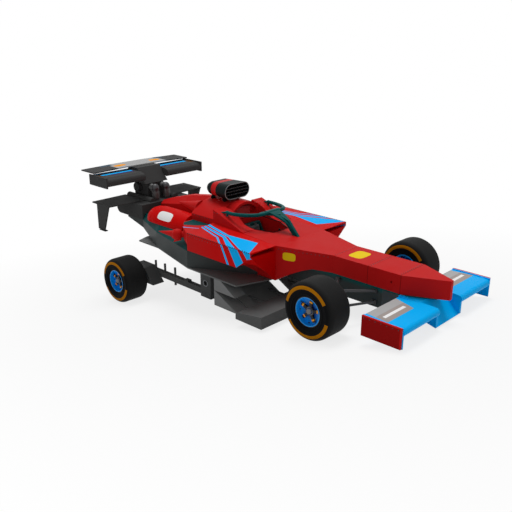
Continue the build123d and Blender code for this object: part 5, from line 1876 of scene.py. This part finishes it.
ROWS = (
    long_row("pod_edge", (-1.12, -2.10), 0.902, 0.3525, Facing.UP, 24),
    long_row("pod_wall", (-1.15, -2.10), 0.92, 0.318, Facing.OUT, 20, 0.005),
    nose_row("nose_joint", 0.165),
    nose_row("nose_tip_joint", 0.548),
    nose_row("nose_root", -0.330),
    FastenerRow("tub_side", (-0.40, 0.2555, 0.300), (-1.00, 0.4484, 0.300), Facing.TUB, 13),
    long_row("cover_side", (-2.175, -2.585), 0.455, 0.425, Facing.OUT, 9),
    long_row("fairing_side", (-1.84, -2.13), 0.46, 0.535, Facing.OUT, 6),
    long_row("tail_side", (-3.77, -4.36), 0.46, 0.300, Facing.OUT, 11),
    long_row("tail_low", (-3.77, -4.20), 0.46, 0.180, Facing.OUT, 8),
    long_row("endplate_front", (0.60, 1.00), 0.941, 0.080, Facing.OUT, 7),
    long_row("endplate_rear", (-3.97, -4.36), 0.905, 0.745, Facing.OUT, 7),
    long_row("endplate_rear_low", (-3.97, -4.36), 0.905, 0.640, Facing.OUT, 7),
    long_row("tailplane_root", (-3.99, -4.39), 0.32, 0.3465, Facing.UP, 6),
    long_row("tailplane_tip", (-4.00, -4.39), 0.865, 0.3465, Facing.UP, 6),
    long_row("pylon_side", (-4.02, -4.26), 0.212, 0.775, Facing.OUT, 5),
    long_row("hanger_high", (-2.19, -2.34), 0.525, -0.190, Facing.OUT, 3, 0.012),
    long_row("hanger_low", (-2.19, -2.34), 0.525, -0.635, Facing.OUT, 3, 0.012),
)


@dataclass
class Fasteners:
    """All rows of small fasteners."""

    shop: Shop
    rows: tuple[FastenerRow, ...] = ROWS
    sides: int = 12
    # the dome's height and the steps of its socket, in radii
    height: float = 0.45
    socket: tuple[Pair, ...] = ((0.28, 0.2), (0.22, 0.06), (0.04, -0.25))

    def row(self, row: FastenerRow, side: int) -> Workpiece:
        """Model one fastener, repeat it along its row and set the row on its face.

        Args:
            row: the row.
            side: +1 for left, -1 for right.

        Returns:
            The row's fasteners.
        """
        to_side = Matrix.Diagonal((1, side, 1))
        start, end, out = (to_side @ Vector(v) for v in (row.start, row.end, row.facing.value))
        along, out = (end - start).normalized(), out.normalized()
        r = row.radius
        name = f"fasteners_{row.name}"
        dome = Workpiece.bar(name, (0, 0, -SINK), (0, 0, r * self.height), r, self.sides)
        dome.inset(towards(2, 1), [(r * wide, r * high) for wide, high in self.socket])
        dome.repeat(row.count, ((end - start).length / (row.count - 1), 0, 0))
        turn = Matrix((along, out.cross(along), out)).transposed().to_4x4()
        return dome.placed(Matrix.Translation(start) @ turn)

    def build(self) -> None:
        """Model every row, on both sides where it has a twin."""
        for row in self.rows:
            sides = SIDES.values() if row.mirrored else (1,)
            first, *others = [self.row(row, side) for side in sides]
            self.shop.fit(first.joined(others, f"fasteners_{row.name}"), "metal", BOLT_FINISH)


@dataclass
class Suspension:
    """Kingpin nuts and the bushings of the floor hangers."""

    shop: Shop
    pin_y: float = 0.600
    pin_top: float = 0.1125
    nut_high: float = 0.013
    nut_radius: float = 0.030
    # the chamfer and the steps of the raised thread end, in the nut's radii
    chamfer: float = 0.08
    thread: tuple[Pair, ...] = ((0.35, 0.0), (0.02, 0.16), (0.08, 0.0))
    hanger: Point = (-2.2665, 0.525, -0.480)
    hanger_wide: float = 0.13
    bore: float = 0.042
    bush_radius: float = 0.006

    def nut(self, name: str, y: float, way: int) -> Workpiece:
        """A chamfered six-sided nut with a raised thread end, on one end of a kingpin.

        Args:
            name: the nut's name.
            y: where the kingpin stands.
            way: +1 for its top, -1 for its foot.

        Returns:
            The nut.
        """
        r, tip_z = self.nut_radius, way * (self.pin_top + self.nut_high)
        nut = Workpiece.bar(name, (0, y, way * self.pin_top), (0, y, tip_z), r, 6)
        nut.bevel(
            lambda spot, run: abs(run.z) < 0.1 and abs(spot.z - tip_z) < NEAR, r * self.chamfer, 2)
        steps = [(r * wide, r * high) for wide, high in self.thread]
        return nut.inset(towards(2, way, 0.95), steps)

    def build(self) -> None:
        """Model every nut and bushing."""
        x, out, z = self.hanger
        for word, side in SIDES.items():
            low = self.nut("nut_low", side * self.pin_y, -1)
            high = self.nut("nut_high", side * self.pin_y, 1)
            nuts = high.joined([low], f"kingpin_nuts_{word}")
            self.shop.fit(nuts, "metal", STEEL_FINISH, f"knuckle_{word}")
            circles = [
                ring_points((x, side * y, z), self.bore, 36) for y in (out, out - self.hanger_wide)]
            outer, inner = (
                Workpiece.tube("bushing", circle, self.bush_radius, closed=True)
                for circle in circles)
            bushings = outer.joined([inner], f"hanger_bushings_{word}")
            self.shop.fit(bushings, "metal", STEEL_FINISH, smooth=ROUND)


@dataclass
class Exhaust:
    """Fat dull elbows that bend back from the two exhaust pipes."""

    shop: Shop
    foot: Point = (-3.862, 0.100, 0.360)
    rise: float = 0.065
    bend: float = 0.085
    radius: float = 0.060
    end_round: float = 0.008
    # the bend's steps, and how far each turns, in degrees
    steps: int = 8
    step: float = 12.0

    def elbow(self, name: str, side: int) -> Workpiece:
        """One elbow, up out of the deck and over towards the pylon.

        Args:
            name: the elbow's name.
            side: +1 for left, -1 for right.

        Returns:
            The elbow.
        """
        x, out, z = self.foot
        y = side * out
        turns = [math.radians(i * self.step) for i in range(self.steps + 1)]
        over = [
            (x - self.bend * (1 - math.cos(t)), y, z + self.rise + self.bend * math.sin(t))
            for t in turns]
        elbow = Workpiece.tube(name, [(x, y, z), *over], self.radius)
        return elbow.soften(self.end_round, 3, 60.0)

    def build(self) -> None:
        """Model both elbows."""
        for word, side in SIDES.items():
            elbow = self.elbow(f"exhaust_elbow_{word}", side)
            self.shop.fit(elbow, "metal", ELBOW_METAL, smooth=ROUND)


@dataclass
class Bodywork:
    """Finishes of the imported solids."""

    shop: Shop

    def dress(self, nodes: dict[str, bpy.types.Object]) -> None:
        """Give every node its finish.

        Args:
            nodes: the frame's nodes by name.
        """
        looks = {name: look for look, names in NODE_LOOKS for name in names}
        for corner, side in WHEELS:
            rubber = tyre_look(corner, side)
            looks[f"rim_{corner}"] = Dish(f"wheel_{corner}", rubber.spin)
            looks[f"tyre_{corner}"] = rubber
        for name, look in looks.items():
            self.assign(nodes[name], self.shop.finishes.get(look))
        left = sorted(set(nodes) - set(looks))
        LOG.info("%d nodes dressed, %d left: %s", len(looks), len(left), left)

    @staticmethod
    def assign(node: bpy.types.Object, material: bpy.types.Material) -> None:
        """Put one material in all of a node's slots.

        Args:
            node: the node.
            material: its material.
        """
        slots = node.data.materials
        for index in range(len(slots)):
            slots[index] = material
        if not slots:
            slots.append(material)


@dataclass
class Studio:
    """Pale floor, white surround, one soft lamp and the camera."""

    stance: Stance
    eye: Point = (3.8265, -5.7992, 2.7609)
    yaw: float = 44.215
    pitch: float = 19.501
    roll: float = 0.17
    lens: float = 44.5
    sensor: float = 36.0
    floor_half: float = 40.0
    floor_grey: Colour = (0.76, 0.76, 0.76, 1.0)
    white: Colour = (1.0, 1.0, 1.0, 1.0)
    # the floor turns white to the eye over an oval: its weights along x and y, where its
    # edge lies with the ramp's reach, and the share of white inside it
    oval: Pair = (0.16, 0.5)
    oval_edge: Pair = (2.2, 1.2)
    near_white: float = 0.78
    sky: float = 0.39
    sun: float = 1.7
    sun_turn: Point = (-10.0, -6.0, 0.0)
    sun_spread: float = 28.0

    @staticmethod
    def seen(recipe: Recipe) -> Field:
        """One for rays that a viewer, a mirror or a glass sends.

        Args:
            recipe: the recipe of the floor or of the sky.

        Returns:
            The mask.
        """
        rays = ("Is Camera Ray", "Is Glossy Ray", "Is Transmission Ray")
        return any_of(recipe.node("ShaderNodeLightPath", {}, {}, ray) for ray in rays)

    @staticmethod
    def blend(recipe: Recipe, share: Field, plain: Field, seen: Field, output: str) -> None:
        """End a recipe with two shaders, the second in a share.

        Args:
            recipe: the recipe to end.
            share: the second shader's share.
            plain: what lights the object.
            seen: what is seen.
            output: type of the output node.
        """
        mixed = recipe.node("ShaderNodeMixShader", {}, {0: share, 1: plain, 2: seen})
        recipe.node(output, {}, {"Surface": mixed})

    def build_floor(self) -> None:
        """Pale floor that is white to the eye but keeps the shadow."""
        Workpiece.clear()
        size = 2 * self.floor_half
        bpy.ops.mesh.primitive_grid_add(x_subdivisions=4, y_subdivisions=4, size=size)
        floor = bpy.context.active_object
        floor.name = "studio_floor"
        recipe = Recipe(bpy.data.materials.new("studio_floor"))
        x, y, _z = recipe.split(recipe.node("ShaderNodeTexCoord", {}, {}, "Object"))
        along, across = self.oval
        far = (((x * x) * along) + ((y * y) * across)).root()
        rise = far.above(*self.oval_edge) * (1.0 - self.near_white)
        grey = recipe.node("ShaderNodeBsdfDiffuse", {}, {"Color": self.floor_grey})
        glow = recipe.node("ShaderNodeEmission", {}, {"Color": self.white, "Strength": 1.0})
        share = self.seen(recipe) * (rise + self.near_white)
        self.blend(recipe, share, grey, glow, "ShaderNodeOutputMaterial")
        floor.data.materials.append(recipe.holder)
        floor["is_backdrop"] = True

    def build_sky(self) -> None:
        """White to the eye, and a plain grey sky to the object."""
        world = bpy.data.worlds.new("studio_sky")
        bpy.context.scene.world = world
        recipe = Recipe(world)
        grey, white = (
            recipe.node("ShaderNodeBackground", {}, {"Color": self.white, "Strength": strength})
            for strength in (self.sky, 1.0))
        self.blend(recipe, self.seen(recipe), grey, white, "ShaderNodeOutputWorld")

    def build_lamp(self) -> None:
        """One broad lamp overhead, a little behind the far side."""
        Workpiece.clear()
        turn = [math.radians(angle) for angle in self.sun_turn]
        bpy.ops.object.light_add(type="SUN", location=(0, 0, 6), rotation=turn)
        lamp = bpy.context.active_object
        lamp.name = "studio_lamp"
        lamp.data.energy = self.sun
        lamp.data.angle = math.radians(self.sun_spread)

    def build_camera(self) -> None:
        """Camera at its place on the level body, stood with the body."""
        yaw, pitch, roll = (math.radians(angle) for angle in (self.yaw, self.pitch, self.roll))
        right = Vector((math.cos(yaw), math.sin(yaw), 0))
        flat, rise = math.cos(pitch), math.sin(pitch)
        ahead = Vector((-math.sin(yaw) * flat, math.cos(yaw) * flat, -rise))
        up = Vector((-math.sin(yaw) * rise, math.cos(yaw) * rise, flat))
        right_turned = right * math.cos(roll) + up * math.sin(roll)
        up_turned = up * math.cos(roll) - right * math.sin(roll)
        axes = [self.stance.heading(v) for v in (right_turned, up_turned, -ahead)]
        place = Matrix(axes).transposed().to_4x4()
        place.translation = self.stance.place(self.eye)
        camera = bpy.data.objects.new("studio_camera", bpy.data.cameras.new("studio_camera"))
        bpy.context.scene.collection.objects.link(camera)
        camera.data.lens = self.lens
        camera.data.sensor_width = self.sensor
        camera.matrix_world = place
        bpy.context.scene.camera = camera

    def build(self) -> None:
        """Set up the whole studio."""
        bpy.context.scene.view_settings.view_transform = "Standard"
        self.build_floor()
        self.build_sky()
        self.build_lamp()
        self.build_camera()


def corners(box: Sequence[Sequence[float]]) -> list[list[float]]:
    """A box's two corners as plain lists."""
    return [[float(part) for part in corner] for corner in box]


def main() -> None:
    """Build the looks in order and note the sizes before and after."""
    logging.basicConfig(level=logging.INFO, format="%(name)s: %(message)s")
    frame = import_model()
    before = corners(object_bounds())
    low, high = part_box("tyre_front_left")
    stance = Stance(front_x=(low.x + high.x) / 2)
    shop = Shop(stance, Finishes(stance))
    Bodywork(shop).dress(frame["nodes"])
    for corner, side in WHEELS:
        Tyre(shop).build(corner, side)
        WheelTrim(shop).build(corner, side)
    HandWheel(shop).build()
    Cockpit(shop).build()
    HaloFairing(shop).build()
    Scoop(shop).build()
    Fasteners(shop).build()
    Suspension(shop).build()
    Exhaust(shop).build()
    Studio(stance).build()
    after = corners(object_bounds())
    LOG.info("cad box %s, final box %s", before, after)


if __name__ == "__main__":
    main()
